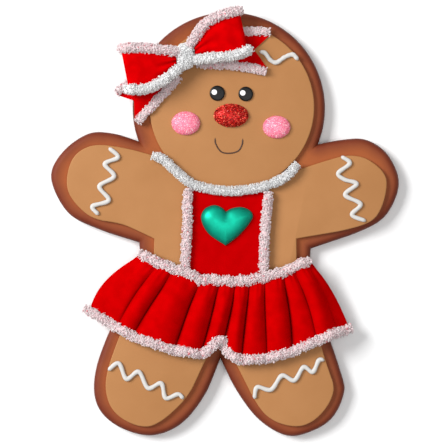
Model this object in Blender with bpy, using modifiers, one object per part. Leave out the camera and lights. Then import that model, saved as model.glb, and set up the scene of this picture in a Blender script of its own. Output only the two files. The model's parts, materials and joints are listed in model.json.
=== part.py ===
"""Gingerbread girl decoration: a foam figure with a ribbon bow, collar, bib, heart and skirt.

Run with: blender --background --python part.py

Sizes are in millimetres and MM turns them to metres. The figure lies on its back: +Y is
towards the head, +Z comes out of its face, and Z = 0 is its flat back. The origin is the
middle of the figure's outline.
"""

from math import cos, pi, radians, sin

import bmesh
import bpy
import numpy as np

MM = 0.001

# Foam: a thick backing with a rounded front edge, and thinner panels glued on it.
BACKING_THICK = 20.0
BACKING_ROUND = 8.0
PANEL_THICK = 6.0
PANEL_ROUND = 1.2
GLUE = 0.3
PANEL_TOP = BACKING_THICK + GLUE + PANEL_THICK
ON_PANEL = PANEL_TOP + GLUE

# The head is one arc of foam with a round face panel on it.
HEAD_CENTRE = (5.0, 149.0)
HEAD_RADIUS = 125.5
HEAD_ARC = (200, -22)
FACE_CENTRE = (9.0, 150.0)
FACE_RADIUS = 107.0
NECK_ARC = (-52, -140)

# Face
EYE_THICK = 3.0
EYES = {"left": ((-10, 168), 10.0), "right": ((27, 167), 9.6)}
GLINT_RADIUS = 3.6
GLINT_SHIFT = (-3.8, 1.2)
GLINT_THICK = 0.8
NOSE = ((8, 139), (23.0, 15.2, 10.0))
CHEEKS = {"left": ((-51, 129), (19.0, 15.5, 9.0)), "right": ((67, 124), (18.3, 14.8, 9.0))}
MOUTH_HALF = (0.9, 0.5)

# Icing is a bead with a flat underside. Chenille is a round or slightly flattened tube.
ICING_HALF_WIDTH = 3.2
ICING_HEIGHT = 4.5
COLLAR_HALF = (6.2, 5.0)
BIB_TRIM_HALF = (5.8, 4.6)
WAIST_HALF = (6.3, 5.6)
HEM_HALF = (6.0, 6.0)
LOOP_TRIM_RADIUS = 5.6
TAIL_TRIM_HALF = (5.4, 2.2)

# Ribbon velvet, and what it lies on.
VELVET_THICK = 1.5
ON_BIB = ON_PANEL + VELVET_THICK + GLUE
TRIM_GAP = 0.5

# Heart
HEART_CENTRE = (3, -3)
HEART_WIDTH = 66.0
HEART_HEIGHT = 53.0
HEART_THICK = 12.0
HEART_EDGE = 2.0
HEART_RINGS = 5
HEART_TURN = -3

# Skirt: its folds run from the waistband to the hem. Each row is where a fold's line starts
# at the waist, where it meets the hem, and how high it stands, from -1 to 1.
FOLDS = (
    (-111, -178, -0.2),
    (-98, -162, 0.6),
    (-85, -144, -0.9),
    (-78, -134, 0.5),
    (-67, -119, -1.0),
    (-51, -88, 0.9),
    (-31, -66, -0.9),
    (-19, -49, 1.0),
    (-6, -32, -1.0),
    (1, -15, 0.8),
    (8, -6, 0.3),
    (14, -1, -1.0),
    (21, 12, 0.9),
    (32, 22, -0.9),
    (43, 34, 0.7),
    (51, 53, -0.6),
    (66, 69, 0.7),
    (75, 87, -1.0),
    (83, 104, 0.1),
    (87, 121, -0.4),
    (98, 134, 1.0),
    (105, 146, 0.0),
    (111, 163, -0.2),
)
FOLD_STEPS = 3
SKIRT_ROWS = 4
SKIRT_LEVEL = 34.0
WAIST_FOLD = 2.0
SKIRT_FOLD = 5.0
HEM_LIFT = 3.0
SIDE_DROP = 13.0
SIDE_DROP_REACH = 45.0
SIDE_BULGE = {"left": 11.0, "right": 5.0}

# Bow: two loops of ribbon turn back on themselves, two notched tails lie under them.
LOOP_BACK = ON_PANEL + 2 * TAIL_TRIM_HALF[1] + GLUE + LOOP_TRIM_RADIUS
LOOP_TURN = 6.4
LOOP_FRONT = LOOP_BACK + 2 * LOOP_TURN
LOOP_TURN_SHARE = 0.1
LOOP_SAG = 5.0
TRIM_SAG = 1.0
NEAR_KNOT = 0.04
KNOT_SIZE = (25.0, 37.0, 21.0)
KNOT_ROUND = 8.0
KNOT_CENTRE = (-51, 215)
KNOT_LEVEL = ON_PANEL + 2 * TAIL_TRIM_HALF[1] + GLUE

# Colours as linear red, green, blue.
TAN = (0.53, 0.23, 0.10)
BROWN = (0.34, 0.10, 0.04)
RED = (0.62, 0.002, 0.002)
WHITE = (0.78, 0.76, 0.75)
PINK = (0.95, 0.36, 0.42)
BLACK = (0.02, 0.02, 0.02)
GREEN = (0.0, 0.5, 0.34)


# ---------------------------------------------------------------- scene and materials


def clear_scene():
    for old in list(bpy.data.objects):
        bpy.data.objects.remove(old, do_unlink=True)


def new_collection(name):
    collection = bpy.data.collections.new(name)
    bpy.context.scene.collection.children.link(collection)
    return collection


def new_material(name, colour, roughness, metallic=0.0):
    material = bpy.data.materials.new(name)
    material.use_nodes = True
    shader = material.node_tree.nodes["Principled BSDF"]
    shader.inputs["Base Color"].default_value = (*colour, 1.0)
    shader.inputs["Roughness"].default_value = roughness
    shader.inputs["Metallic"].default_value = metallic
    return material


def add_object(name, data, material, collection):
    obj = bpy.data.objects.new(name, data)
    obj.data.materials.append(material)
    collection.objects.link(obj)
    return obj


# ---------------------------------------------------------------- lines and outlines


def through(points, steps):
    """A smooth line through the points, in as many steps between two of them as asked."""
    given = np.array(points, dtype=float)
    before = 2 * given[0] - given[1]
    after = 2 * given[-1] - given[-2]
    knots = np.vstack([before, given, after])
    line = []
    for a, b, c, d in zip(knots, knots[1:], knots[2:], knots[3:]):
        for t in np.arange(steps) / steps:
            bend = (2 * a - 5 * b + 4 * c - d) * t**2 + (3 * b - a - 3 * c + d) * t**3
            line.append(b + 0.5 * ((c - a) * t + bend))
    line.append(given[-1])
    return np.array(line)


def arc(centre, radius, start, end, steps):
    """Points on a circle from one angle to another, in degrees."""
    angles = np.radians(np.linspace(start, end, steps + 1))
    return [(centre[0] + radius * cos(a), centre[1] + radius * sin(a)) for a in angles]


def closed_outline(stretches):
    """One closed loop of points from stretches that meet end to end at corners."""
    loop = [point for stretch in stretches for point in stretch[:-1]]
    return np.array(loop)


def offset_line(line, distance):
    """The line moved sideways to its left in plan."""
    run = np.gradient(line[:, :2], axis=0)
    run /= np.linalg.norm(run, axis=1)[:, None]
    left = np.column_stack([-run[:, 1], run[:, 0]])
    moved = line.copy()
    moved[:, :2] += left * distance
    return moved


def share_of(line):
    """How far along its length each point of the line lies, from 0 to 1."""
    lengths = np.linalg.norm(np.diff(line, axis=0), axis=1)
    run = np.concatenate([[0.0], np.cumsum(lengths)])
    return run / run[-1]


def at_share(line, share):
    along = share_of(line)
    return np.array([np.interp(share, along, line[:, axis]) for axis in range(line.shape[1])])


# ---------------------------------------------------------------- makers of solids


def flat_plate(name, outline, bottom, thick, material, collection):
    """A filled outline with a thickness, as a mesh."""
    curve = bpy.data.curves.new(name, "CURVE")
    curve.dimensions = "2D"
    curve.fill_mode = "BOTH"
    curve.extrude = thick / 2 * MM
    spline = curve.splines.new("POLY")
    spline.points.add(len(outline) - 1)
    for point, (x, y) in zip(spline.points, outline):
        point.co = (x * MM, y * MM, 0.0, 1.0)
    spline.use_cyclic_u = True
    guide = bpy.data.objects.new(name + "_outline", curve)
    bpy.context.scene.collection.objects.link(guide)
    bpy.context.view_layer.update()
    seen = guide.evaluated_get(bpy.context.evaluated_depsgraph_get())
    mesh = bpy.data.meshes.new_from_object(seen)
    bpy.data.objects.remove(guide, do_unlink=True)
    mesh.name = name
    shape = bmesh.new()
    shape.from_mesh(mesh)
    bmesh.ops.remove_doubles(shape, verts=shape.verts, dist=1e-5)
    bmesh.ops.dissolve_limit(
        shape, angle_limit=radians(0.5), verts=shape.verts, edges=shape.edges
    )
    shape.to_mesh(mesh)
    shape.free()
    plate = add_object(name, mesh, material, collection)
    plate.location.z = (bottom + thick / 2) * MM
    return plate


def round_front(plate, width, segments):
    """Bevels only the edges round the plate's front face."""
    mesh = plate.data
    weights = mesh.attributes.new("bevel_weight_edge", "FLOAT", "EDGE")
    for edge in mesh.edges:
        heights = [mesh.vertices[index].co.z for index in edge.vertices]
        weights.data[edge.index].value = float(min(heights) > 0)
    bevel = plate.modifiers.new("front_round", "BEVEL")
    bevel.limit_method = "WEIGHT"
    bevel.width = width * MM
    bevel.segments = segments
    bevel.use_clamp_overlap = False


def section(name, points, helpers):
    """A closed outline that a strand carries along its line."""
    curve = bpy.data.curves.new(name, "CURVE")
    curve.dimensions = "2D"
    spline = curve.splines.new("POLY")
    spline.points.add(len(points) - 1)
    for point, (x, y) in zip(spline.points, points):
        point.co = (x * MM, y * MM, 0.0, 1.0)
    spline.use_cyclic_u = True
    guide = bpy.data.objects.new(name, curve)
    helpers.objects.link(guide)
    return guide


def oval_section(name, half_width, half_height, sides, helpers):
    angles = [-2 * pi * side / sides for side in range(sides)]
    points = [(half_width * cos(a), half_height * sin(a)) for a in angles]
    return section(name, points, helpers)


def bead_section(name, half_width, height, helpers):
    """A half oval on a flat base."""
    angles = [pi * step / 4 for step in range(4, -1, -1)]
    points = [(half_width * cos(a), height * sin(a)) for a in angles]
    return section(name, points, helpers)


def strand(name, line, profile, blunt, material, collection):
    """Carries a section along a line of points, with ends that narrow over a length."""
    curve = bpy.data.curves.new(name, "CURVE")
    curve.dimensions = "3D"
    curve.twist_mode = "Z_UP"
    curve.bevel_mode = "OBJECT"
    curve.bevel_object = profile
    curve.use_fill_caps = True
    along = share_of(line)
    inset = blunt / np.linalg.norm(np.diff(line, axis=0), axis=1).sum()
    kept = [share for share in along if 1.3 * inset < share < 1 - 1.3 * inset]
    shares = [0.0, inset, *kept, 1 - inset, 1.0]
    spline = curve.splines.new("POLY")
    spline.points.add(len(shares) - 1)
    for point, share in zip(spline.points, shares):
        point.co = (*(at_share(line, share) * MM), 1.0)
        point.radius = 0.6 if share in (0.0, 1.0) else 1.0
    return add_object(name, curve, material, collection)


def at_level(line, level):
    return np.column_stack([line, np.full(len(line), level)])


def dome(name, centre, sizes, bottom, material, collection):
    """The upper half of a ball, stretched to half width, half depth and height."""
    shape = bmesh.new()
    bmesh.ops.create_uvsphere(shape, u_segments=18, v_segments=10, radius=1.0)
    bmesh.ops.bisect_plane(
        shape,
        geom=[*shape.verts, *shape.edges, *shape.faces],
        dist=1e-5,
        plane_co=(0, 0, 0),
        plane_no=(0, 0, 1),
        clear_inner=True,
    )
    rim = [edge for edge in shape.edges if edge.is_boundary]
    bmesh.ops.contextual_create(shape, geom=rim)
    bmesh.ops.recalc_face_normals(shape, faces=shape.faces)
    bmesh.ops.scale(shape, vec=[size * MM for size in sizes], verts=shape.verts)
    mesh = bpy.data.meshes.new(name)
    shape.to_mesh(mesh)
    shape.free()
    half_ball = add_object(name, mesh, material, collection)
    half_ball.location = (centre[0] * MM, centre[1] * MM, bottom * MM)
    return half_ball


def disc(name, centre, radius, bottom, thick, material, collection):
    shape = bmesh.new()
    bmesh.ops.create_cone(
        shape,
        cap_ends=True,
        segments=20,
        radius1=radius * MM,
        radius2=radius * MM,
        depth=thick * MM,
    )
    mesh = bpy.data.meshes.new(name)
    shape.to_mesh(mesh)
    shape.free()
    plate = add_object(name, mesh, material, collection)
    plate.location = (centre[0] * MM, centre[1] * MM, (bottom + thick / 2) * MM)
    return plate


def cloth(name, rows, material, collection):
    """A thin closed sheet through rows of points that differ from one to the next."""
    grid = np.array(rows) * MM
    down, across = grid.shape[:2]
    mesh = bpy.data.meshes.new(name)
    corners = [
        (row * across + col, row * across + col + 1, (row + 1) * across + col + 1, (row + 1) * across + col)
        for row in range(down - 1)
        for col in range(across - 1)
    ]
    mesh.from_pydata(grid.reshape(-1, 3), [], corners)
    sheet = add_object(name, mesh, material, collection)
    thickness = sheet.modifiers.new("thickness", "SOLIDIFY")
    thickness.thickness = VELVET_THICK * MM
    thickness.offset = 0.0
    return sheet


# ---------------------------------------------------------------- foam figure


def backing_outline():
    head = arc(HEAD_CENTRE, HEAD_RADIUS, *HEAD_ARC, 32)
    right_arm = through(
        [head[-1], (153, 108), (184, 108), (212, 89), (227, 52), (212, 12), (180, -10), (112, -34)], 3
    )
    right_leg = through(
        [
            (112, -34), (112, -66), (126, -120), (152, -198), (155, -224), (140, -255), (112, -273),
            (80, -278), (44, -257), (15, -219), (-6, -177),
        ],
        3,
    )
    left_leg = through(
        [
            (-6, -177), (-27, -226), (-59, -264), (-100, -278), (-145, -263), (-169, -232),
            (-166, -182), (-134, -104), (-112, -60), (-112, -26),
        ],
        3,
    )
    left_arm = through(
        [(-112, -26), (-164, -9), (-205, 13), (-227, 58), (-212, 92), (-178, 116), (-145, 116), head[0]], 3
    )
    return closed_outline([head, right_arm, right_leg, left_leg, left_arm])


def body_outline():
    neck = arc(FACE_CENTRE, FACE_RADIUS + 2 * GLUE, NECK_ARC[1], NECK_ARC[0], 10)
    right_arm = through(
        [neck[-1], (96, 69), (134, 81), (162, 87), (189, 80), (210, 55), (199, 11), (167, -7), (93, -21)], 3
    )
    right_leg = through(
        [
            (93, -21), (95, -62), (110, -115), (132, -183), (141, -220), (121, -253), (90, -265),
            (50, -247), (15, -185), (-8, -142),
        ],
        3,
    )
    left_leg = through(
        [
            (-8, -142), (-29, -187), (-53, -231), (-98, -265), (-142, -248), (-155, -207),
            (-136, -145), (-112, -96), (-95, -60), (-92, -21),
        ],
        3,
    )
    left_arm = through(
        [(-92, -21), (-132, -3), (-175, 8), (-204, 41), (-199, 81), (-172, 100), (-127, 96), neck[0]], 3
    )
    return closed_outline([neck, right_arm, right_leg, left_leg, left_arm])


def foam_figure(collection, materials):
    backing = flat_plate(
        "backing", backing_outline(), 0.0, BACKING_THICK, materials["brown_foam"], collection
    )
    round_front(backing, BACKING_ROUND, 2)
    body = flat_plate(
        "body_panel", body_outline(), BACKING_THICK + GLUE, PANEL_THICK, materials["tan_foam"], collection
    )
    round_front(body, PANEL_ROUND, 1)
    circle = np.array(arc(FACE_CENTRE, FACE_RADIUS, 0, 360, 56)[:-1])
    face = flat_plate(
        "face_panel", circle, BACKING_THICK + GLUE, PANEL_THICK, materials["tan_foam"], collection
    )
    round_front(face, PANEL_ROUND, 1)


# ---------------------------------------------------------------- face and icing


def face_features(collection, helpers, materials):
    for side, (centre, radius) in EYES.items():
        eye = disc("eye_" + side, centre, radius, ON_PANEL, EYE_THICK, materials["black_foam"], collection)
        edge = eye.modifiers.new("edge", "BEVEL")
        edge.width = 0.8 * MM
        edge.segments = 1
        spot = (centre[0] + GLINT_SHIFT[0], centre[1] + GLINT_SHIFT[1])
        level = ON_PANEL + EYE_THICK + GLUE
        paint = materials["white_paint"]
        disc("eye_glint_" + side, spot, GLINT_RADIUS, level, GLINT_THICK, paint, collection)
    dome("nose", *NOSE, ON_PANEL, materials["red_glitter"], collection)
    for side, (centre, sizes) in CHEEKS.items():
        dome("cheek_" + side, centre, sizes, ON_PANEL, materials["pink_glitter"], collection)
    smile = through([(-13, 110), (-12, 102), (-5, 92), (6, 90), (17, 93), (22, 101), (23, 109)], 3)
    profile = oval_section("mouth_section", *MOUTH_HALF, 4, helpers)
    line = at_level(smile, ON_PANEL + MOUTH_HALF[1])
    strand("mouth", line, profile, 0.5, materials["brown_line"], collection)


ICING_LINES = {
    "forehead": [(45, 222), (52, 220), (59, 211), (67, 208), (78, 215), (88, 218), (95, 211)],
    "arm_left": [
        (-151, 97), (-139, 85), (-156, 76), (-144, 60), (-163, 47), (-151, 29), (-172, 21), (-164, 10),
    ],
    "arm_right": [
        (151, 86), (162, 77), (147, 64), (155, 56), (171, 50), (156, 36), (176, 24), (165, 10), (183, 2),
    ],
    "leg_left": [
        (-152, -192), (-138, -183), (-128, -203), (-112, -194), (-100, -215), (-83, -209), (-77, -228),
        (-61, -223), (-54, -229),
    ],
    "leg_right": [
        (38, -229), (42, -214), (60, -217), (74, -199), (90, -205), (102, -188), (114, -194),
        (122, -179), (129, -179),
    ],
}


def icing(collection, helpers, materials):
    profile = bead_section("icing_section", ICING_HALF_WIDTH, ICING_HEIGHT, helpers)
    for place, points in ICING_LINES.items():
        line = at_level(through(points, 3), ON_PANEL)
        strand("icing_" + place, line, profile, 1.5, materials["icing"], collection)


# ---------------------------------------------------------------- collar, bib and heart


def collar(collection, helpers, materials):
    line = through(
        [(-94, 87), (-80, 82), (-64, 67), (-40, 49), (3, 41), (47, 46), (78, 59), (94, 76)], 3
    )
    profile = oval_section("collar_section", *COLLAR_HALF, 8, helpers)
    line = at_level(line, ON_BIB + COLLAR_HALF[1])
    strand("collar", line, profile, 4.0, materials["white_chenille"], collection)


def bib(collection, helpers, materials):
    top = through([(-47, 49), (-22, 42), (3, 40), (28, 42), (54, 47)], 2)
    right_side = [(54, 47), (52, -9), (50, -68)]
    bottom = through([(50, -68), (27, -73), (-27, -71), (-51, -64)], 2)
    left_side = [(-51, -64), (-49, -2), (-47, 49)]
    outline = closed_outline([top, right_side, bottom, left_side])
    flat_plate("bib", outline, ON_PANEL, VELVET_THICK, materials["red_velvet"], collection)
    profile = oval_section("bib_trim_section", *BIB_TRIM_HALF, 8, helpers)
    sides = {
        "left": through([(-47, 42), (-49, 22), (-49, -2), (-52, -57)], 1),
        "right": through([(56, 38), (54, 12), (52, -9), (50, -61)], 1),
    }
    for side, points in sides.items():
        line = at_level(points, ON_BIB + BIB_TRIM_HALF[1])
        strand("bib_trim_" + side, line, profile, 2.5, materials["pink_chenille"], collection)


def heart(collection, materials):
    """A padded heart: the usual heart formula's outline, drawn in as it rises to the top."""
    turns = np.linspace(0, 2 * pi, 41)[:-1]
    x = np.sin(-turns) ** 3
    y = (13 * np.cos(turns) - 5 * np.cos(2 * turns) - 2 * np.cos(3 * turns) - np.cos(4 * turns)) / 17
    y -= (y.max() + y.min()) / 2
    outline = np.column_stack([x * HEART_WIDTH / 2, y / (y.max() - y.min()) * HEART_HEIGHT])
    turn = radians(HEART_TURN)
    outline = outline @ np.array([[cos(turn), sin(turn)], [-sin(turn), cos(turn)]])
    shape = bmesh.new()
    rings = [[shape.verts.new((*(outline[i] * MM), 0.0)) for i in range(len(outline))]]
    for step in range(HEART_RINGS):
        rise = radians(90 * step / HEART_RINGS)
        level = HEART_EDGE + (HEART_THICK - HEART_EDGE) * sin(rise)
        ring = outline * cos(rise)
        rings.append([shape.verts.new((*(place * MM), level * MM)) for place in ring])
    for lower, upper in zip(rings, rings[1:]):
        for i in range(len(outline)):
            j = (i + 1) % len(outline)
            shape.faces.new((lower[i], lower[j], upper[j], upper[i]))
    middle = shape.verts.new((0.0, 0.0, HEART_THICK * MM))
    for i in range(len(outline)):
        shape.faces.new((rings[-1][i], rings[-1][(i + 1) % len(outline)], middle))
    shape.faces.new(rings[0][::-1])
    mesh = bpy.data.meshes.new("heart")
    shape.to_mesh(mesh)
    shape.free()
    pad = add_object("heart", mesh, materials["green_satin"], collection)
    pad.location = (HEART_CENTRE[0] * MM, HEART_CENTRE[1] * MM, ON_BIB * MM)


# ---------------------------------------------------------------- skirt

WAIST_LINE = through(
    [
        (-110, -41), (-90, -51), (-47, -68), (-27, -75), (-10, -75), (7, -77), (27, -76), (67, -67),
        (110, -50),
    ],
    4,
)
HEM_LINE = through(
    [
        (-183, -111), (-144, -134), (-100, -155), (-52, -168), (-28, -169), (-18, -163), (-12, -155),
        (-6, -152), (-1, -156), (1, -164), (9, -173), (27, -178), (72, -172), (122, -152), (164, -137),
    ],
    4,
)
# Where the body panel's sides run down under the skirt.
PANEL_SIDE = ((-200, 148), (-115, 110), (-62, 95), (-21, 93))


def beyond_panel(x, y):
    """How far a place lies outside the body panel's side."""
    heights, halves = zip(*PANEL_SIDE)
    return max(0.0, abs(x) - np.interp(y, heights, halves))


def side_drop(x, y):
    """How much the cloth sinks where it hangs out past the panel."""
    reach = min(1.0, beyond_panel(x, y) / SIDE_DROP_REACH)
    return SIDE_DROP * reach * reach * (3 - 2 * reach)


def side_bulge(waist_x):
    """How far the skirt's sides belly out from a straight line, fading towards the middle."""
    side = "right" if waist_x > 0 else "left"
    return SIDE_BULGE[side] * (waist_x / WAIST_LINE[-1][0]) ** 3


def on_line(line, x):
    return np.array([x, np.interp(x, line[:, 0], line[:, 1])])


def clear_of(line, start, way, distance):
    """The first place on the way from start that is at least a distance from the line."""
    place = start.copy()
    starts = line[:-1]
    runs = np.diff(line, axis=0)
    while True:
        shares = ((place - starts) * runs).sum(axis=1) / (runs * runs).sum(axis=1)
        nearest = starts + runs * np.clip(shares, 0, 1)[:, None]
        if np.linalg.norm(place - nearest, axis=1).min() >= distance:
            return place
        place = place + way * 0.25


def hem_level(x, y, fold):
    return SKIRT_LEVEL + HEM_LIFT * (1 + fold) - side_drop(x, y)


def fold_columns():
    """Waist x, hem x and fold height of each column of the skirt."""
    columns = []
    for (waist_a, hem_a, high_a), (waist_b, hem_b, high_b) in zip(FOLDS, FOLDS[1:]):
        for step in range(FOLD_STEPS):
            t = step / FOLD_STEPS
            ease = (1 - cos(pi * t)) / 2
            row = (
                waist_a + (waist_b - waist_a) * t,
                hem_a + (hem_b - hem_a) * t,
                high_a + (high_b - high_a) * ease,
            )
            columns.append(row)
    columns.append(FOLDS[-1])
    return columns


def skirt(collection, helpers, materials):
    columns = fold_columns()
    hem_x = [column[1] for column in columns]
    folds = [column[2] for column in columns]
    hem = np.array([(x, y, hem_level(x, y, np.interp(x, hem_x, folds))) for x, y in HEM_LINE])
    waist = np.array([(x, y, SKIRT_LEVEL - side_drop(x, y)) for x, y in WAIST_LINE])
    rows = [[] for _ in range(SKIRT_ROWS + 1)]
    for waist_x, hem_x_here, fold in columns:
        top = on_line(WAIST_LINE, waist_x)
        bottom = on_line(HEM_LINE, hem_x_here)
        way = (top - bottom) / np.linalg.norm(top - bottom)
        top = clear_of(WAIST_LINE, top, -way, WAIST_HALF[0] + TRIM_GAP)
        bottom = clear_of(HEM_LINE, bottom, way, HEM_HALF[0] + TRIM_GAP)
        for index, row in enumerate(rows):
            t = index / SKIRT_ROWS
            x, y = top + (bottom - top) * t
            x += side_bulge(waist_x) * sin(pi * t)
            waist_level = SKIRT_LEVEL + WAIST_FOLD * fold - side_drop(x, y)
            free_level = SKIRT_LEVEL + SKIRT_FOLD * (0.35 + fold) - side_drop(x, y)
            end_level = hem_level(x, y, fold)
            if t < 0.5:
                level = waist_level + (free_level - waist_level) * t * 2
            else:
                level = free_level + (end_level - free_level) * (t * 2 - 1)
            row.append((x, y, level))
    cloth("skirt", rows, materials["red_velvet"], collection)
    waist_profile = oval_section("waist_section", *WAIST_HALF, 6, helpers)
    hem_profile = oval_section("hem_section", *HEM_HALF, 6, helpers)
    strand("skirt_waistband", waist, waist_profile, 3.0, materials["pink_chenille"], collection)
    strand("skirt_hem", hem, hem_profile, 3.0, materials["pink_chenille"], collection)


# ---------------------------------------------------------------- bow


def loop_stations(sag):
    """Along a loop from the knot to the fold and back: share of the way out, and height."""
    stations = []
    turn_from = 1 - LOOP_TURN_SHARE
    for share in np.linspace(0, turn_from, 6)[:-1]:
        drop = sag * (1 - share / turn_from) ** 2
        stations.append((share, LOOP_FRONT - drop))
    for angle in np.linspace(0, pi, 7):
        share = turn_from + LOOP_TURN_SHARE * sin(angle)
        stations.append((share, LOOP_BACK + LOOP_TURN * (1 + cos(angle))))
    for share in np.linspace(turn_from, 0, 4)[1:]:
        stations.append((share, LOOP_BACK))
    return stations


def bow_loop(side, upper, lower, collection, materials):
    """A loop between its upper and lower edge in plan, and the chenille along both."""
    upper = through(upper, 4)
    lower = through(lower, 4)
    rows = []
    for share, level in loop_stations(LOOP_SAG):
        top = at_share(upper, share)
        bottom = at_share(lower, share)
        row = [(*(top + (bottom - top) * t), level) for t in (0, 0.25, 0.5, 0.75, 1)]
        rows.append(row)
    cloth("bow_loop_" + side, rows, materials["red_velvet"], collection)
    outward = 1 if side == "right" else -1
    reach = LOOP_TRIM_RADIUS + TRIM_GAP
    edges = {"upper": offset_line(upper, outward * reach), "lower": offset_line(lower, -outward * reach)}
    for which, edge in edges.items():
        name = f"bow_loop_{side}_{which}_trim"
        curve = bpy.data.curves.new(name, "CURVE")
        curve.dimensions = "3D"
        curve.bevel_depth = LOOP_TRIM_RADIUS * MM
        curve.bevel_resolution = 1
        curve.use_fill_caps = True
        path = []
        for share, level in loop_stations(TRIM_SAG):
            out = NEAR_KNOT + (1 - NEAR_KNOT) * share
            path.append((*at_share(edge, out), level))
        spline = curve.splines.new("POLY")
        spline.points.add(len(path) - 1)
        for point, place in zip(spline.points, path):
            point.co = (*(np.array(place) * MM), 1.0)
        add_object(name, curve, materials["white_chenille"], collection)


def bow_tail(side, upper, lower, notch, collection, helpers, materials):
    """A notched tail between its two chenille edges, which are given from the knot outwards."""
    inward = TAIL_TRIM_HALF[0] + TRIM_GAP
    if side == "right":
        inward = -inward
    edges = {"upper": through(upper, 2), "lower": through(lower, 2)}
    upper_edge = offset_line(edges["upper"], inward)
    lower_edge = offset_line(edges["lower"], -inward)
    outline = [*upper_edge, notch, *lower_edge[::-1]]
    flat_plate("bow_tail_" + side, outline, ON_PANEL, VELVET_THICK, materials["red_velvet"], collection)
    profile = oval_section(f"tail_{side}_section", *TAIL_TRIM_HALF, 8, helpers)
    for which, edge in edges.items():
        line = at_level(edge, ON_PANEL + TAIL_TRIM_HALF[1])
        strand(f"bow_tail_{side}_{which}_trim", line, profile, 2.0, materials["pink_chenille"], collection)


def bow(collection, helpers, materials):
    shape = bmesh.new()
    bmesh.ops.create_cube(shape, size=1.0)
    bmesh.ops.scale(shape, vec=[size * MM for size in KNOT_SIZE], verts=shape.verts)
    mesh = bpy.data.meshes.new("bow_knot")
    shape.to_mesh(mesh)
    shape.free()
    knot = add_object("bow_knot", mesh, materials["white_chenille"], collection)
    knot.location = (KNOT_CENTRE[0] * MM, KNOT_CENTRE[1] * MM, (KNOT_LEVEL + KNOT_SIZE[2] / 2) * MM)
    rounding = knot.modifiers.new("rounding", "BEVEL")
    rounding.width = KNOT_ROUND * MM
    rounding.segments = 3

    left_upper = [(-66, 216), (-88, 218), (-118, 220), (-133, 219)]
    left_lower = [(-66, 203), (-79, 191), (-92, 183), (-106, 178), (-125, 178)]
    bow_loop("left", left_upper, left_lower, collection, materials)
    right_upper = [(-36, 232), (-24, 250), (-13, 258), (2, 264), (19, 268)]
    right_lower = [(-36, 216), (-13, 219), (9, 221), (28, 228)]
    bow_loop("right", right_upper, right_lower, collection, materials)

    left_tail_upper = [(-72, 208), (-98, 200), (-122, 183), (-141, 169)]
    left_tail_lower = [(-60, 189), (-69, 179), (-83, 164), (-98, 148), (-114, 131)]
    bow_tail("left", left_tail_upper, left_tail_lower, (-120, 160), collection, helpers, materials)
    right_tail_upper = [(-34, 226), (0, 242), (26, 248), (58, 248)]
    right_tail_lower = [(-36, 206), (-3, 205), (16, 203), (33, 201), (53, 196)]
    bow_tail("right", right_tail_upper, right_tail_lower, (37, 226), collection, helpers, materials)


# ---------------------------------------------------------------- the whole


def main():
    clear_scene()
    collection = new_collection("gingerbread_girl_decoration")
    helpers = new_collection("helpers")
    helpers.hide_render = True
    materials = {
        "brown_foam": new_material("brown_foam", BROWN, 0.7),
        "tan_foam": new_material("tan_foam", TAN, 0.75),
        "black_foam": new_material("black_foam", BLACK, 0.4),
        "white_paint": new_material("white_paint", WHITE, 0.5),
        "brown_line": new_material("brown_line", BROWN, 0.7),
        "red_glitter": new_material("red_glitter", RED, 0.4),
        "pink_glitter": new_material("pink_glitter", PINK, 0.5),
        "icing": new_material("icing", WHITE, 0.6),
        "red_velvet": new_material("red_velvet", RED, 0.9),
        "white_chenille": new_material("white_chenille", WHITE, 0.95),
        "pink_chenille": new_material("pink_chenille", WHITE, 0.95),
        "green_satin": new_material("green_satin", GREEN, 0.3, 0.3),
    }
    foam_figure(collection, materials)
    face_features(collection, helpers, materials)
    icing(collection, helpers, materials)
    collar(collection, helpers, materials)
    bib(collection, helpers, materials)
    heart(collection, materials)
    skirt(collection, helpers, materials)
    bow(collection, helpers, materials)


main()
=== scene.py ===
"""Looks of a foam gingerbread girl decoration with a ribbon bow, bib, heart and gathered skirt.

The figure lies on its back on a pale floor, and the camera looks straight down at it.
Lengths named in millimetres are turned to metres by MM. +Y is towards the head and +Z comes
out of the face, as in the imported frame.
"""

import json  # noqa: E402
import logging  # noqa: E402
from collections.abc import Callable, Sequence  # noqa: E402
from dataclasses import dataclass, field  # noqa: E402
from enum import Enum  # noqa: E402
from math import cos, pi, radians, sin, sqrt  # noqa: E402
from typing import Any  # noqa: E402

import bpy  # noqa: E402
import numpy as np  # noqa: E402
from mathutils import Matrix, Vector  # noqa: E402

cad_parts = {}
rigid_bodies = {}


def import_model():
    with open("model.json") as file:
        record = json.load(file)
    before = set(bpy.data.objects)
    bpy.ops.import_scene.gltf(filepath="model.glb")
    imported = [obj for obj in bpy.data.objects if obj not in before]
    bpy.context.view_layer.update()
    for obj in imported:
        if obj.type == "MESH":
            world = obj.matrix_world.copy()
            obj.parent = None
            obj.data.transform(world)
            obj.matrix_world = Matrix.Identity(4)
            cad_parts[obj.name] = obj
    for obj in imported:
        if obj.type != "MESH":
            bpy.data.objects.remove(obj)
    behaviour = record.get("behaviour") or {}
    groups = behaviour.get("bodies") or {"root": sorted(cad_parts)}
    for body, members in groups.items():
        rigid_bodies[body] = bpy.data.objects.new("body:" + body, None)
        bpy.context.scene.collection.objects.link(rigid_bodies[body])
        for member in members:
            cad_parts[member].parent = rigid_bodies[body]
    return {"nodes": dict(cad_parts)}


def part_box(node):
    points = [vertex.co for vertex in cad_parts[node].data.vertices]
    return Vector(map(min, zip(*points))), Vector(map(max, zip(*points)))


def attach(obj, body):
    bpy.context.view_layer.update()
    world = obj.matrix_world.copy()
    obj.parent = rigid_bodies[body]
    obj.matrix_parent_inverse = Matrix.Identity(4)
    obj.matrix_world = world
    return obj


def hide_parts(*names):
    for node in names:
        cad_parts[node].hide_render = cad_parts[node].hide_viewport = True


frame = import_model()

LOG = logging.getLogger("decoration")
MM = 0.001

Points = Sequence[tuple[float, float]]

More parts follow.
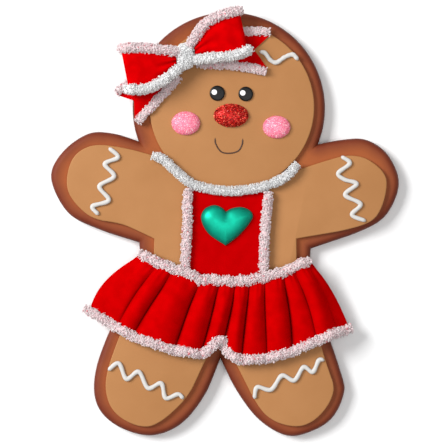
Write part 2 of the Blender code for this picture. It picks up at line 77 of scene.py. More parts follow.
# Levels out of the floor, in millimetres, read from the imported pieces.
PANEL_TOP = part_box("body_panel")[1][2] / MM
BIB_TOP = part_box("bib")[1][2] / MM


# ------------------------------------------------------------------ colour and nodes


def linear(colour: str) -> tuple[float, float, float, float]:
    """Turns a colour as it is seen into the values that a shader takes.

    Args:
        colour: An sRGB hex value such as "c18554".

    Returns:
        Red, green, blue and alpha, linear.
    """
    parts = [int(colour[i : i + 2], 16) / 255 for i in (0, 2, 4)]
    lit = [part / 12.92 if part <= 0.04045 else ((part + 0.055) / 1.055) ** 2.4 for part in parts]
    return (lit[0], lit[1], lit[2], 1.0)


def add_node(
    tree: bpy.types.NodeTree,
    kind: str,
    settings: dict[str, Any] | None = None,
    links: dict[str, bpy.types.NodeSocket] | None = None,
) -> bpy.types.Node:
    """Adds a node with its settings and what feeds it.

    Args:
        tree: The material's node tree.
        kind: The node's type, such as "ShaderNodeBump".
        settings: Values by property name or by input socket name.
        links: Output sockets by the name of the input that each one feeds.

    Returns:
        The new node.
    """
    node = tree.nodes.new(kind)
    for name, value in (settings or {}).items():
        if hasattr(node, name):
            setattr(node, name, value)
        else:
            node.inputs[name].default_value = value
    for name, socket in (links or {}).items():
        tree.links.new(socket, node.inputs[name])
    return node


def add_ramp(
    tree: bpy.types.NodeTree, factor: bpy.types.NodeSocket, stops: Sequence[tuple[float, str]]
) -> bpy.types.NodeSocket:
    """Adds a colour ramp.

    Args:
        tree: The material's node tree.
        factor: What drives the ramp.
        stops: Places from 0 to 1 with their sRGB hex colours, in order.

    Returns:
        The ramp's colour output.
    """
    ramp = add_node(tree, "ShaderNodeValToRGB", links={"Fac": factor})
    elements = ramp.color_ramp.elements
    while len(elements) < len(stops):
        elements.new(1.0)
    for element, (place, colour) in zip(elements, stops):
        element.position = place
        element.color = linear(colour)
    return ramp.outputs["Color"]


def wavelength(size_mm: float) -> float:
    """The texture scale that gives details of a size in millimetres."""
    return 1.0 / (size_mm * MM)


class Finish:
    """A surface finish that makes its material once."""

    name: str

    def shade(self, tree: bpy.types.NodeTree) -> bpy.types.Node:
        """Adds the finish's nodes and returns its shader node."""
        raise NotImplementedError

    def material(self) -> bpy.types.Material:
        """The finish's material, made on first use."""
        own_name = self.name + "_look"
        made = bpy.data.materials.get(own_name)
        if made is None:
            made = bpy.data.materials.new(own_name)
            made.use_nodes = True
            tree = made.node_tree
            tree.nodes.clear()
            shader = self.shade(tree)
            add_node(tree, "ShaderNodeOutputMaterial", links={"Surface": shader.outputs[0]})
        return made


@dataclass(frozen=True)
class FoamSheet(Finish):
    """Closed-cell craft foam: a dry, even surface with a fine skin and barely visible clouding."""

    name: str
    colour: str
    shade_colour: str
    cloud_mm: float = 45.0
    cell_mm: float = 0.9
    roughness: float = 0.62

    def shade(self, tree: bpy.types.NodeTree) -> bpy.types.Node:
        """Clouds the colour faintly and presses a fine cell grain into it."""
        place = add_node(tree, "ShaderNodeTexCoord").outputs["Object"]
        clouds = add_node(
            tree, "ShaderNodeTexNoise", {"Scale": wavelength(self.cloud_mm), "Detail": 3.0}, {"Vector": place}
        )
        colour = add_ramp(tree, clouds.outputs["Fac"], [(0.3, self.shade_colour), (0.7, self.colour)])
        cells = add_node(
            tree, "ShaderNodeTexNoise", {"Scale": wavelength(self.cell_mm), "Detail": 2.0}, {"Vector": place}
        )
        bump = add_node(
            tree,
            "ShaderNodeBump",
            {"Strength": 0.12, "Distance": 0.15 * MM},
            {"Height": cells.outputs["Fac"]},
        )
        return add_node(
            tree,
            "ShaderNodeBsdfPrincipled",
            {"Roughness": self.roughness, "Specular IOR Level": 0.3},
            {"Base Color": colour, "Normal": bump.outputs["Normal"]},
        )


@dataclass(frozen=True)
class AirbrushedFoam(Finish):
    """Brown foam with colour sprayed on its rim: dark at the edge, fading warm towards the panels."""

    name: str = "airbrushed_foam"
    stops: tuple[tuple[float, str], ...] = (
        (0.0, "622512"),
        (0.14, "71301a"),
        (0.42, "894422"),
        (0.7, "9a5027"),
        (1.0, "9e552a"),
    )
    fade_mm: float = 26.0
    patch_mm: float = 28.0
    cell_mm: float = 1.0

    def shade(self, tree: bpy.types.NodeTree) -> bpy.types.Node:
        """Fades the colour by the distance from the rim, a little unevenly as a spray does."""
        place = add_node(tree, "ShaderNodeTexCoord").outputs["Object"]
        rim = add_node(tree, "ShaderNodeAttribute", {"attribute_name": "from_rim"}).outputs["Fac"]
        patches = add_node(
            tree, "ShaderNodeTexNoise", {"Scale": wavelength(self.patch_mm), "Detail": 2.0}, {"Vector": place}
        )
        wobble = add_node(
            tree,
            "ShaderNodeMath",
            {"operation": "MULTIPLY_ADD"},
            {0: patches.outputs["Fac"]},
        )
        wobble.inputs[1].default_value = 0.24
        wobble.inputs[2].default_value = -0.12
        spread = add_node(tree, "ShaderNodeMath", {"operation": "ADD"}, {0: rim, 1: wobble.outputs[0]})
        colour = add_ramp(tree, spread.outputs[0], self.stops)
        cells = add_node(
            tree, "ShaderNodeTexNoise", {"Scale": wavelength(self.cell_mm), "Detail": 3.0}, {"Vector": place}
        )
        bump = add_node(
            tree, "ShaderNodeBump", {"Strength": 0.18, "Distance": 0.2 * MM}, {"Height": cells.outputs["Fac"]}
        )
        return add_node(
            tree,
            "ShaderNodeBsdfPrincipled",
            {"Roughness": 0.6, "Specular IOR Level": 0.2},
            {"Base Color": colour, "Normal": bump.outputs["Normal"]},
        )


@dataclass(frozen=True)
class Velvet(Finish):
    """Short-pile velvet ribbon: deep where it faces the eye and brighter where it turns away."""

    name: str = "bow_red_velvet"
    colour: str = "c80003"
    deep_colour: str = "b40002"
    # Painted shade: the colour mixed in where folds sink, standing in for shade in the valleys.
    fold_shade_colour: str = "3c0000"
    sheen_colour: str = "ff0000"
    brush_mm: float = 14.0
    pile_mm: float = 0.8

    def shade(self, tree: bpy.types.NodeTree) -> bpy.types.Node:
        """Lays brushed patches of pile over the colour, with painted shade that darkens it in the fold
        valleys.
        """
        place = add_node(tree, "ShaderNodeTexCoord").outputs["Object"]
        brush = add_node(
            tree, "ShaderNodeTexNoise", {"Scale": wavelength(self.brush_mm), "Detail": 4.0}, {"Vector": place}
        )
        open_pile = add_ramp(tree, brush.outputs["Fac"], [(0.35, self.deep_colour), (0.65, self.colour)])
        # Painted shade: darkens the pile towards the fold shade colour by the stored valley depth.
        painted_fold_shade = add_node(tree, "ShaderNodeAttribute", {"attribute_name": "painted_fold_shade"}).outputs["Fac"]
        colour = add_node(
            tree,
            "ShaderNodeMixRGB",
            {"Color2": linear(self.fold_shade_colour)},
            {"Fac": painted_fold_shade, "Color1": open_pile},
        )
        pile = add_node(
            tree, "ShaderNodeTexNoise", {"Scale": wavelength(self.pile_mm), "Detail": 2.0}, {"Vector": place}
        )
        bump = add_node(
            tree, "ShaderNodeBump", {"Strength": 0.5, "Distance": 0.3 * MM}, {"Height": pile.outputs["Fac"]}
        )
        return add_node(
            tree,
            "ShaderNodeBsdfPrincipled",
            {
                "Roughness": 1.0,
                "Specular IOR Level": 0.0,
                "Sheen Weight": 0.3,
                "Sheen Roughness": 0.4,
                "Sheen Tint": linear(self.sheen_colour),
            },
            {"Base Color": colour.outputs["Color"], "Normal": bump.outputs["Normal"]},
        )


@dataclass(frozen=True)
class ChenillePile(Finish):
    """Soft cut yarn of a chenille edge: near white, with a few dyed tips that read as flecks."""

    name: str
    stops: tuple[tuple[float, str], ...]

    def shade(self, tree: bpy.types.NodeTree) -> bpy.types.Node:
        """Colours each tuft by its own tone."""
        tone = add_node(tree, "ShaderNodeAttribute", {"attribute_name": "tone"}).outputs["Fac"]
        colour = add_ramp(tree, tone, self.stops)
        return add_node(
            tree,
            "ShaderNodeBsdfPrincipled",
            {
                "Roughness": 0.95,
                "Specular IOR Level": 0.1,
                "Sheen Weight": 0.6,
                "Sheen Roughness": 0.5,
                "Subsurface Weight": 0.2,
                "Subsurface Scale": 2.0 * MM,
                "Subsurface Radius": (1.0, 1.0, 1.0),
            },
            {"Base Color": colour},
        )


@dataclass(frozen=True)
class Glitter(Finish):
    """Metallised glitter set in glue: each flake catches or misses the light on its own, with painted sparkle
    and painted shade in the bright and dark ends of its tone.
    """

    name: str
    stops: tuple[tuple[float, str], ...]
    metallic: float
    roughness: float

    def shade(self, tree: bpy.types.NodeTree) -> bpy.types.Node:
        """Colours each flake by its own random tone, whose bright end is painted sparkle and dark end painted
        shade.
        """
        tone = add_node(tree, "ShaderNodeAttribute", {"attribute_name": "tone"}).outputs["Fac"]
        colour = add_ramp(tree, tone, self.stops)
        return add_node(
            tree,
            "ShaderNodeBsdfPrincipled",
            {"Roughness": self.roughness, "Metallic": self.metallic},
            {"Base Color": colour},
        )


@dataclass(frozen=True)
class SatinFoil(Finish):
    """Metallised green satin over padding: broad soft highlights on a fine weave."""

    name: str = "green_satin"
    colour: str = "05b898"
    deep_colour: str = "02a084"
    thread_mm: float = 0.9

    def shade(self, tree: bpy.types.NodeTree) -> bpy.types.Node:
        """Gives the foil a metal's coloured highlight and a fine woven relief."""
        place = add_node(tree, "ShaderNodeTexCoord").outputs["Object"]
        weave = add_node(
            tree,
            "ShaderNodeTexWave",
            {"Scale": wavelength(self.thread_mm) / 20, "Distortion": 1.5, "Detail": 2.0},
            {"Vector": place},
        )
        clouds = add_node(tree, "ShaderNodeTexNoise", {"Scale": wavelength(18.0)}, {"Vector": place})
        colour = add_ramp(tree, clouds.outputs["Fac"], [(0.35, self.deep_colour), (0.65, self.colour)])
        bump = add_node(
            tree, "ShaderNodeBump", {"Strength": 0.08, "Distance": 0.1 * MM}, {"Height": weave.outputs["Fac"]}
        )
        return add_node(
            tree,
            "ShaderNodeBsdfPrincipled",
            {"Roughness": 0.5, "Metallic": 0.8},
            {"Base Color": colour, "Normal": bump.outputs["Normal"]},
        )


@dataclass(frozen=True)
class Paint(Finish):
    """A smooth coat of paint or a printed line, with the gloss it dried to."""

    name: str
    colour: str
    deep_colour: str
    roughness: float
    grain_mm: float = 1.6
    relief: float = 0.15
    specular: float = 0.5

    def shade(self, tree: bpy.types.NodeTree) -> bpy.types.Node:
        """Clouds the colour and gives the coat its slight unevenness."""
        place = add_node(tree, "ShaderNodeTexCoord").outputs["Object"]
        grain = add_node(
            tree, "ShaderNodeTexNoise", {"Scale": wavelength(self.grain_mm), "Detail": 3.0}, {"Vector": place}
        )
        colour = add_ramp(tree, grain.outputs["Fac"], [(0.3, self.deep_colour), (0.7, self.colour)])
        bump = add_node(
            tree,
            "ShaderNodeBump",
            {"Strength": self.relief, "Distance": 0.3 * MM},
            {"Height": grain.outputs["Fac"]},
        )
        return add_node(
            tree,
            "ShaderNodeBsdfPrincipled",
            {"Roughness": self.roughness, "Specular IOR Level": self.specular},
            {"Base Color": colour, "Normal": bump.outputs["Normal"]},
        )


TAN_FOAM = FoamSheet("tan_foam", "ac7746", "a77241")
BACKING_FOAM = AirbrushedFoam()
BOW_VELVET = Velvet()
BIB_VELVET = Velvet("bib_red_velvet", "b40003", "ad0002")
# The skirt's darker fold shade colour is painted shade for its valleys.
SKIRT_VELVET = Velvet("skirt_red_velvet", "bc0002", "ae0001", fold_shade_colour="300000")
WHITE_PILE = ChenillePile("white_chenille", ((0.0, "dadadb"), (0.5, "e2e2e2"), (1.0, "ececec")))
PINK_PILE = ChenillePile(
    "pink_chenille",
    ((0.0, "d7b3b7"), (0.4, "dec7c9"), (0.88, "e5dbdb"), (0.93, "e08a95"), (1.0, "d84a58")),
)
# Painted light: the darkest stop is painted shade and the lightest stop painted sparkle, given to random
# flakes.
RED_GLITTER = Glitter(
    "red_glitter", ((0.0, "580302"), (0.45, "c0120c"), (0.8, "f03020"), (1.0, "ff8a68")), 0.5, 0.35
)
# Painted light: the near-white top stop is painted sparkle, given to random flakes.
PINK_GLITTER = Glitter(
    "pink_glitter", ((0.0, "f07090"), (0.6, "fa8fa8"), (0.85, "ffa9bb"), (1.0, "fff0f0")), 0.1, 0.4
)
GREEN_SATIN = SatinFoil()
ICING_PAINT = Paint("puffy_icing_paint", "cdcac7", "c5c3bf", 0.55)
BLACK_FOAM = Paint("black_eye_foam", "0a090a", "070607", 0.4, specular=0.27)
GLINT_PAINT = Paint("white_glint_paint", "ffffff", "f4f4f4", 0.4)
SMILE_INK = Paint("brown_smile_line", "4a2c1c", "3a2115", 0.6)
FLOOR_PAPER = Paint("pale_studio_paper", "f6f6f6", "f4f4f4", 0.9, grain_mm=40.0, relief=0.0)


# ------------------------------------------------------------------ lines in plan


def through(points: Points | np.ndarray, steps: int) -> np.ndarray:
    """Draws a smooth line through points.

    Args:
        points: Places in the plane or in space.
        steps: Steps between two neighbouring points.

    Returns:
        The line's points, one row each.
    """
    given = np.array(points, dtype=float)
    knots = np.vstack([2 * given[0] - given[1], given, 2 * given[-1] - given[-2]])
    shares = np.arange(steps)[:, None] / steps
    stretches = [bent(knots[i : i + 4], shares) for i in range(len(given) - 1)]
    return np.vstack([*stretches, given[-1:]])


def bent(knots: np.ndarray, shares: np.ndarray) -> np.ndarray:
    """Points on the curve between the middle two of four knots, at shares of the way."""
    a, b, c, d = knots
    square = (2 * a - 5 * b + 4 * c - d) * shares**2
    cube = (3 * b - a - 3 * c + d) * shares**3
    return b + 0.5 * ((c - a) * shares + square + cube)


def smooth_loop(loop: np.ndarray, steps: int, corner: float = 40.0) -> np.ndarray:
    """Smooths a closed outline and keeps its sharp corners.

    Args:
        loop: The outline's points in order.
        steps: Steps between two neighbouring points.
        corner: The turn, in degrees, from which a point is a corner.

    Returns:
        The finer outline.
    """
    before = loop - np.roll(loop, 1, axis=0)
    after = np.roll(loop, -1, axis=0) - loop
    cross = before[:, 0] * after[:, 1] - before[:, 1] * after[:, 0]
    turn = np.degrees(np.abs(np.arctan2(cross, (before * after).sum(axis=1))))
    sharp = turn > corner
    shares = np.arange(steps)[:, None] / steps
    fine = []
    for i in range(len(loop)):
        b, c = loop[i], loop[(i + 1) % len(loop)]
        a = 2 * b - c if sharp[i] else loop[i - 1]
        d = 2 * c - b if sharp[(i + 1) % len(loop)] else loop[(i + 2) % len(loop)]
        fine.append(bent(np.array([a, b, c, d]), shares))
    return np.vstack(fine)


def shares_along(line: np.ndarray) -> np.ndarray:
    """How far along its length each point of a line lies, from 0 to 1."""
    run = np.concatenate([[0.0], np.cumsum(np.linalg.norm(np.diff(line, axis=0), axis=1))])
    return run / run[-1]


def places_at(line: np.ndarray, shares: np.ndarray | Sequence[float]) -> np.ndarray:
    """Places on a line at shares of its length."""
    along = shares_along(line)
    return np.column_stack([np.interp(shares, along, line[:, axis]) for axis in range(line.shape[1])])


def length_of(line: np.ndarray) -> float:
    """A line's length."""
    return float(np.linalg.norm(np.diff(line, axis=0), axis=1).sum())


def leftwards(line: np.ndarray) -> np.ndarray:
    """The unit direction to the left of a line in plan, at each of its points."""
    run = np.gradient(line[:, :2], axis=0)
    run /= np.linalg.norm(run, axis=1)[:, None]
    return np.column_stack([-run[:, 1], run[:, 0]])


def moved_left(line: np.ndarray, distance: float) -> np.ndarray:
    """A line moved to its left in plan."""
    moved = line.copy()
    moved[:, :2] += leftwards(line) * distance
    return moved


def at_level(line: np.ndarray, level: float) -> np.ndarray:
    """A line in plan lifted to one level."""
    return np.column_stack([line, np.full(len(line), level)])


def node_outline(node: str) -> np.ndarray:
    """Reads the outline of a packed plate's flat underside.

    Args:
        node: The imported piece's name.

    Returns:
        The outline's points in metres, anticlockwise.
    """
    mesh = frame["nodes"][node].data
    places = np.array([vertex.co for vertex in mesh.vertices])
    _, first, index = np.unique(places.round(6), axis=0, return_index=True, return_inverse=True)
    places = places[first]
    mesh.calc_loop_triangles()
    faces = index.reshape(-1)[np.array([list(face.vertices) for face in mesh.loop_triangles])]
    low = places[:, 2] < places[:, 2].min() + 1e-5
    under = faces[low[faces].all(axis=1)]
    follows: dict[int, int] = {}
    ends = {(int(a), int(b)) for face in under for a, b in zip(face, np.roll(face, -1))}
    for a, b in ends:
        if (b, a) not in ends:
            follows[a] = b
    start = next(iter(follows))
    loop = [start]
    while follows[loop[-1]] != start:
        loop.append(follows[loop[-1]])
    outline = places[loop, :2]
    after = np.roll(outline, -1, axis=0)
    area = (outline[:, 0] * after[:, 1] - outline[:, 1] * after[:, 0]).sum()
    return outline if area > 0 else outline[::-1]


# ------------------------------------------------------------------ modelling by hand


def only(piece: bpy.types.Object) -> None:
    """Selects one object and makes it active."""
    for other in bpy.context.view_layer.objects:
        other.select_set(False)
    piece.select_set(True)
    bpy.context.view_layer.objects.active = piece


def start_piece(name: str, add: Callable[..., Any], **settings: Any) -> bpy.types.Object:
    """Adds a primitive with nothing else selected.

    Args:
        name: The new piece's name.
        add: The operator that adds the primitive.
        **settings: The operator's settings.

    Returns:
        The new object.
    """
    for other in bpy.context.view_layer.objects:
        other.select_set(False)
    add(**settings)
    piece = bpy.context.view_layer.objects.active
    piece.name = name
    piece.data.name = name
    return piece


def settle(piece: bpy.types.Object) -> bpy.types.Object:
    """Puts the piece's place into its mesh, so that the object sits at the origin."""
    only(piece)
    bpy.ops.object.transform_apply(location=True, rotation=True, scale=True)
    return piece


def finish_modifier(piece: bpy.types.Object, kind: str, **settings: Any) -> None:
    """Adds a modifier and applies it.

    Args:
        piece: The piece to change.
        kind: The modifier's type.
        **settings: The modifier's settings.
    """
    only(piece)
    modifier = piece.modifiers.new(kind.lower(), kind)
    for name, value in settings.items():
        setattr(modifier, name, value)
    bpy.ops.object.modifier_apply(modifier=modifier.name)


def recalculate(piece: bpy.types.Object, merge: float = 1e-6) -> None:
    """Merges doubled points and turns every face outwards."""
    only(piece)
    bpy.ops.object.mode_set(mode="EDIT")
    bpy.ops.mesh.select_all(action="SELECT")
    bpy.ops.mesh.remove_doubles(threshold=merge)
    bpy.ops.mesh.normals_make_consistent(inside=False)
    bpy.ops.object.mode_set(mode="OBJECT")


def smooth(piece: bpy.types.Object, angle: float = 40.0) -> None:
    """Shades a piece smooth and keeps edges sharper than an angle in degrees."""
    only(piece)
    bpy.ops.object.shade_smooth_by_angle(angle=radians(angle))


def give_places(piece: bpy.types.Object, places: np.ndarray) -> None:
    """Moves every point of a piece's mesh."""
    piece.data.vertices.foreach_set("co", np.ascontiguousarray(places, np.float32).ravel())
    piece.data.update()


def read_places(piece: bpy.types.Object) -> np.ndarray:
    """Every point of a piece's mesh, one row each."""
    places = np.empty(len(piece.data.vertices) * 3, np.float32)
    piece.data.vertices.foreach_get("co", places)
    return places.reshape(-1, 3).astype(float)


def give_values(piece: bpy.types.Object, name: str, values: np.ndarray) -> None:
    """Stores a number on every point of a piece's mesh for its material to read."""
    layer = piece.data.attributes.new(name, "FLOAT", "POINT")
    layer.data.foreach_set("value", np.ascontiguousarray(values, np.float32))


def grid_piece(name: str, places: np.ndarray) -> bpy.types.Object:
    """Adds a grid and shapes it into a surface.

    Args:
        name: The new piece's name.
        places: The surface's points in metres, as rows, columns and coordinates.

    Returns:
        The new object.
    """
    rows, columns = places.shape[:2]
    piece = start_piece(
        name,
        bpy.ops.mesh.primitive_grid_add,
        x_subdivisions=columns - 1,
        y_subdivisions=rows - 1,
        size=1.0,
    )
    flat = read_places(piece)
    column = np.rint((flat[:, 0] + 0.5) * (columns - 1)).astype(int)
    row = np.rint((flat[:, 1] + 0.5) * (rows - 1)).astype(int)
    give_places(piece, places[row, column])
    return piece


def tube_piece(
    name: str, line: np.ndarray, half_wide: np.ndarray, half_high: np.ndarray, sides: int
) -> bpy.types.Object:
    """Rolls a grid into a closed tube round a line.

    Args:
        name: The new piece's name.
        line: The tube's centre line in metres.
        half_wide: Half the tube's width at each point of the line.
        half_high: Half its height at each point of the line.
        sides: Faces round the tube.

    Returns:
        The new object.
    """
    across, up = tube_axes(line)
    angles = np.linspace(0, 2 * pi, sides + 1)
    ring = across[:, None] * (half_wide[:, None] * np.cos(angles))[..., None]
    ring = ring + up[:, None] * (half_high[:, None] * np.sin(angles))[..., None]
    body = line[:, None] + ring
    caps = [np.repeat(line[end][None, None], sides + 1, axis=1) for end in (0, -1)]
    piece = grid_piece(name, np.vstack([caps[0], body, caps[1]]))
    recalculate(piece)
    return piece


def tube_axes(line: np.ndarray) -> tuple[np.ndarray, np.ndarray]:
    """The sideways and the upward direction of a tube at each point of its line.

    Args:
        line: The tube's centre line.

    Returns:
        Two arrays of unit vectors. Sideways stays level, so a tube never twists.
    """
    run = np.gradient(line, axis=0)
    run /= np.linalg.norm(run, axis=1)[:, None]
    across = np.cross(run, [0.0, 0.0, 1.0])
    steep = np.linalg.norm(across, axis=1) < 0.2
    for i in np.flatnonzero(steep):
        across[i] = across[i - 1]
    across /= np.linalg.norm(across, axis=1)[:, None]
    for i in range(1, len(across)):
        if across[i] @ across[i - 1] < 0:
            across[i] *= -1
    return across, np.cross(across, run)


def raw_mesh(name: str, places: np.ndarray, corners: np.ndarray, sides: int) -> bpy.types.Mesh:
    """Makes a mesh of many small faces that all have the same number of corners.

    Args:
        name: The mesh's name.
        places: Points, one row each.
        corners: Point numbers, one row for each face.
        sides: Corners of each face.

    Returns:
        The new mesh.
    """
    mesh = bpy.data.meshes.new(name)
    mesh.vertices.add(len(places))
    mesh.vertices.foreach_set("co", np.ascontiguousarray(places, np.float32).ravel())
    mesh.loops.add(corners.size)
    mesh.loops.foreach_set("vertex_index", np.ascontiguousarray(corners, np.int32).ravel())
    mesh.polygons.add(len(corners))
    mesh.polygons.foreach_set("loop_start", np.arange(0, corners.size, sides, dtype=np.int32))
    mesh.polygons.foreach_set("use_smooth", np.ones(len(corners), bool))
    mesh.update(calc_edges=True)
    return mesh


def join_into(piece: bpy.types.Object, extras: Sequence[bpy.types.Object]) -> None:
    """Joins other objects into a piece."""
    only(piece)
    for extra in extras:
        extra.select_set(True)
    bpy.ops.object.join()


# ------------------------------------------------------------------ dressing


def dress(piece: bpy.types.Object, finish: Finish, nodes: Sequence[str]) -> None:
    """Gives a piece its finish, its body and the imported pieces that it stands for.

    Args:
        piece: The finished piece.
        finish: Its surface finish.
        nodes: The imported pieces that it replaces.
    """
    piece.data.materials.clear()
    piece.data.materials.append(finish.material())
    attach(piece, "root")
    if nodes:
        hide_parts(*nodes)
    LOG.info("%s: %d faces", piece.name, len(piece.data.polygons))


# ------------------------------------------------------------------ foam figure


@dataclass
class FoamPlate:
    """A cut foam shape with a soft front edge, drawn in from its outline ring by ring."""

    node: str
    finish: Finish
    slot: str
    edge_round: float
    round_steps: int
    cut_mm: float = 0.0
    outline_steps: int = 6

    def build(self) -> bpy.types.Object:
        """Fills the outline, raises it and rounds its front edge."""
        low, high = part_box(self.node)
        outline = smooth_loop(node_outline(self.node), self.outline_steps)
        piece = start_piece(
            self.node + "_foam",
            bpy.ops.mesh.primitive_circle_add,
            vertices=len(outline),
            radius=1.0,
            fill_type="NGON",
        )
        give_places(piece, at_level(outline, low[2]))
        bpy.ops.object.mode_set(mode="EDIT")
        bpy.ops.mesh.select_all(action="SELECT")
        radius = self.edge_round * MM
        wall = high[2] - low[2] - radius
        bpy.ops.mesh.extrude_region_move(TRANSFORM_OT_translate={"value": (0.0, 0.0, wall)})
        reach = height = 0.0
        for step in range(1, self.round_steps + 1):
            angle = pi / 2 * step / self.round_steps
            inward = radius * (1 - cos(angle))
            upward = radius * sin(angle)
            bpy.ops.mesh.inset(thickness=inward - reach, depth=upward - height, use_even_offset=True)
            reach, height = inward, upward
        if self.cut_mm:
            self.cut_across(low, high)
        bpy.ops.object.mode_set(mode="OBJECT")
        recalculate(piece)
        self.mark_rim(piece, outline)
        smooth(piece, 50.0)
        dress(piece, self.finish, [self.node])
        return piece

    def cut_across(self, low: Vector, high: Vector) -> None:
        """Cuts the plate into a grid, whose corners carry the sprayed colour."""
        for axis, way in enumerate(((1, 0, 0), (0, 1, 0))):
            for place in np.arange(low[axis], high[axis], self.cut_mm * MM)[1:]:
                bpy.ops.mesh.select_all(action="SELECT")
                bpy.ops.mesh.bisect(plane_co=tuple(np.array(way) * place), plane_no=way)

    def mark_rim(self, piece: bpy.types.Object, outline: np.ndarray) -> None:
        """Stores how far each point lies from the outline, as a share of the sprayed width."""
        if not isinstance(self.finish, AirbrushedFoam):
            return
        places = read_places(piece)[:, :2]
        starts = outline
        runs = np.roll(outline, -1, axis=0) - outline
        lengths = (runs * runs).sum(axis=1)
        nearest = np.full(len(places), np.inf)
        for chunk in np.array_split(np.arange(len(places)), 40):
            gap = places[chunk, None] - starts[None]
            share = np.clip((gap * runs).sum(axis=2) / lengths, 0, 1)
            nearest[chunk] = np.linalg.norm(gap - share[..., None] * runs, axis=2).min(axis=1)
        give_values(piece, "from_rim", np.clip(nearest / MM / self.finish.fade_mm, 0, 1))


@dataclass
class Figure:
    """The foam backing and the two smooth panels glued on it."""

    plates: tuple[FoamPlate, ...] = (
        FoamPlate("backing", BACKING_FOAM, "brown_foam", 8.0, 7, cut_mm=6.0),
        FoamPlate("body_panel", TAN_FOAM, "tan_foam", 1.3, 4),
        FoamPlate("face_panel", TAN_FOAM, "tan_foam", 1.3, 4),
    )

    def build(self) -> None:
        """Builds every plate."""
        for plate in self.plates:
            plate.build()


# ------------------------------------------------------------------ face


@dataclass
class GlitterDome:
    """A padded oval covered in glitter: a smooth dome under tilted flakes."""

    node: str
    finish: Glitter
    slot: str
    flake_mm: float
    flake_gap_mm: float
    tilt: float
    seed: int

    def build(self) -> bpy.types.Object:
        """Cuts a ball in half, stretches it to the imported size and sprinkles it."""
        low, high = (np.array(corner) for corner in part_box(self.node))
        middle = (low + high) / 2
        piece = start_piece(
            self.node + "_dome", bpy.ops.mesh.primitive_uv_sphere_add, segments=64, ring_count=40, radius=1.0
        )
        bpy.ops.object.mode_set(mode="EDIT")
        bpy.ops.mesh.select_all(action="SELECT")
        bpy.ops.mesh.bisect(plane_co=(0, 0, 0), plane_no=(0, 0, 1), use_fill=True, clear_inner=True)
        bpy.ops.object.mode_set(mode="OBJECT")
        half = (high - low) / 2 - 0.35 * MM
        tall = high[2] - low[2] - 0.4 * MM
        places = read_places(piece)
        round_top = np.sign(places[:, 2]) * np.abs(places[:, 2]) ** 0.9
        shaped = np.column_stack([places[:, 0] * half[0], places[:, 1] * half[1], round_top * tall])
        give_places(piece, shaped + [middle[0], middle[1], low[2]])
        smooth(piece, 60.0)
        give_values(piece, "tone", np.full(len(piece.data.vertices), 0.45))
        join_into(piece, [self.flakes(middle, low[2], half, tall)])
        dress(piece, self.finish, [self.node])
        return piece

    def flakes(self, middle: np.ndarray, base: float, half: np.ndarray, tall: float) -> bpy.types.Object:
        """Six-sided flakes strewn evenly over the dome, each tilted a little.

        Args:
            middle: The dome's middle.
            base: The level it rises from.
            half: Half its width and depth.
            tall: Its height.

        Returns:
            One object that holds every flake.
        """
        rng = np.random.default_rng(self.seed)
        area = 2 * pi * half[0] * half[1] * 1.15
        count = int(area / (self.flake_gap_mm * MM) ** 2)
        turn = pi * (3 - sqrt(5)) * np.arange(count) + rng.normal(0, 0.25, count)
        up = 1 - (np.arange(count) + rng.uniform(0, 1, count)) / count
        flat = np.sqrt(np.clip(1 - up**2, 0, 1))
        unit = np.column_stack([flat * np.cos(turn), flat * np.sin(turn), up])
        raised = np.column_stack([unit[:, 0] * half[0], unit[:, 1] * half[1], unit[:, 2] ** 0.9 * tall])
        centres = raised + [middle[0], middle[1], base]
        facing = unit / [half[0], half[1], tall]
        facing /= np.linalg.norm(facing, axis=1)[:, None]
        facing += rng.normal(0, self.tilt, (count, 3))
        facing /= np.linalg.norm(facing, axis=1)[:, None]
        side = np.cross(facing, rng.normal(0, 1, (count, 3)))
        side /= np.linalg.norm(side, axis=1)[:, None]
        other = np.cross(facing, side)
        size = self.flake_mm * MM / 2 * rng.uniform(0.7, 1.2, count)[:, None, None]
        angles = np.linspace(0, 2 * pi, 7)[:-1]
        rim = side[:, None] * np.cos(angles)[None, :, None] + other[:, None] * np.sin(angles)[None, :, None]
        lifted = centres + facing * 0.12 * MM
        top = lifted[:, None] + rim * size
        bottom = top - facing[:, None] * 0.1 * MM
        places = np.concatenate([top, bottom], axis=1).reshape(-1, 3)
        start = np.arange(count)[:, None] * 12
        fan = [(0, 1, 2, 3), (0, 3, 4, 5), (9, 8, 7, 6), (11, 10, 9, 6)]
        walls = [(i, i + 6, (i + 1) % 6 + 6, (i + 1) % 6) for i in range(6)]
        corners = np.concatenate([start + np.array(face)[None] for face in [*fan, *walls]])
        mesh = raw_mesh("flakes", places, corners, 4)
        mesh.polygons.foreach_set("use_smooth", np.zeros(len(corners), bool))
        strewn = bpy.data.objects.new("flakes", mesh)
        bpy.context.scene.collection.objects.link(strewn)
        # Random tones per flake; their bright and dark ends are painted sparkle and painted shade.
        give_values(strewn, "tone", np.repeat(rng.uniform(0, 1, count), 12))
        return strewn


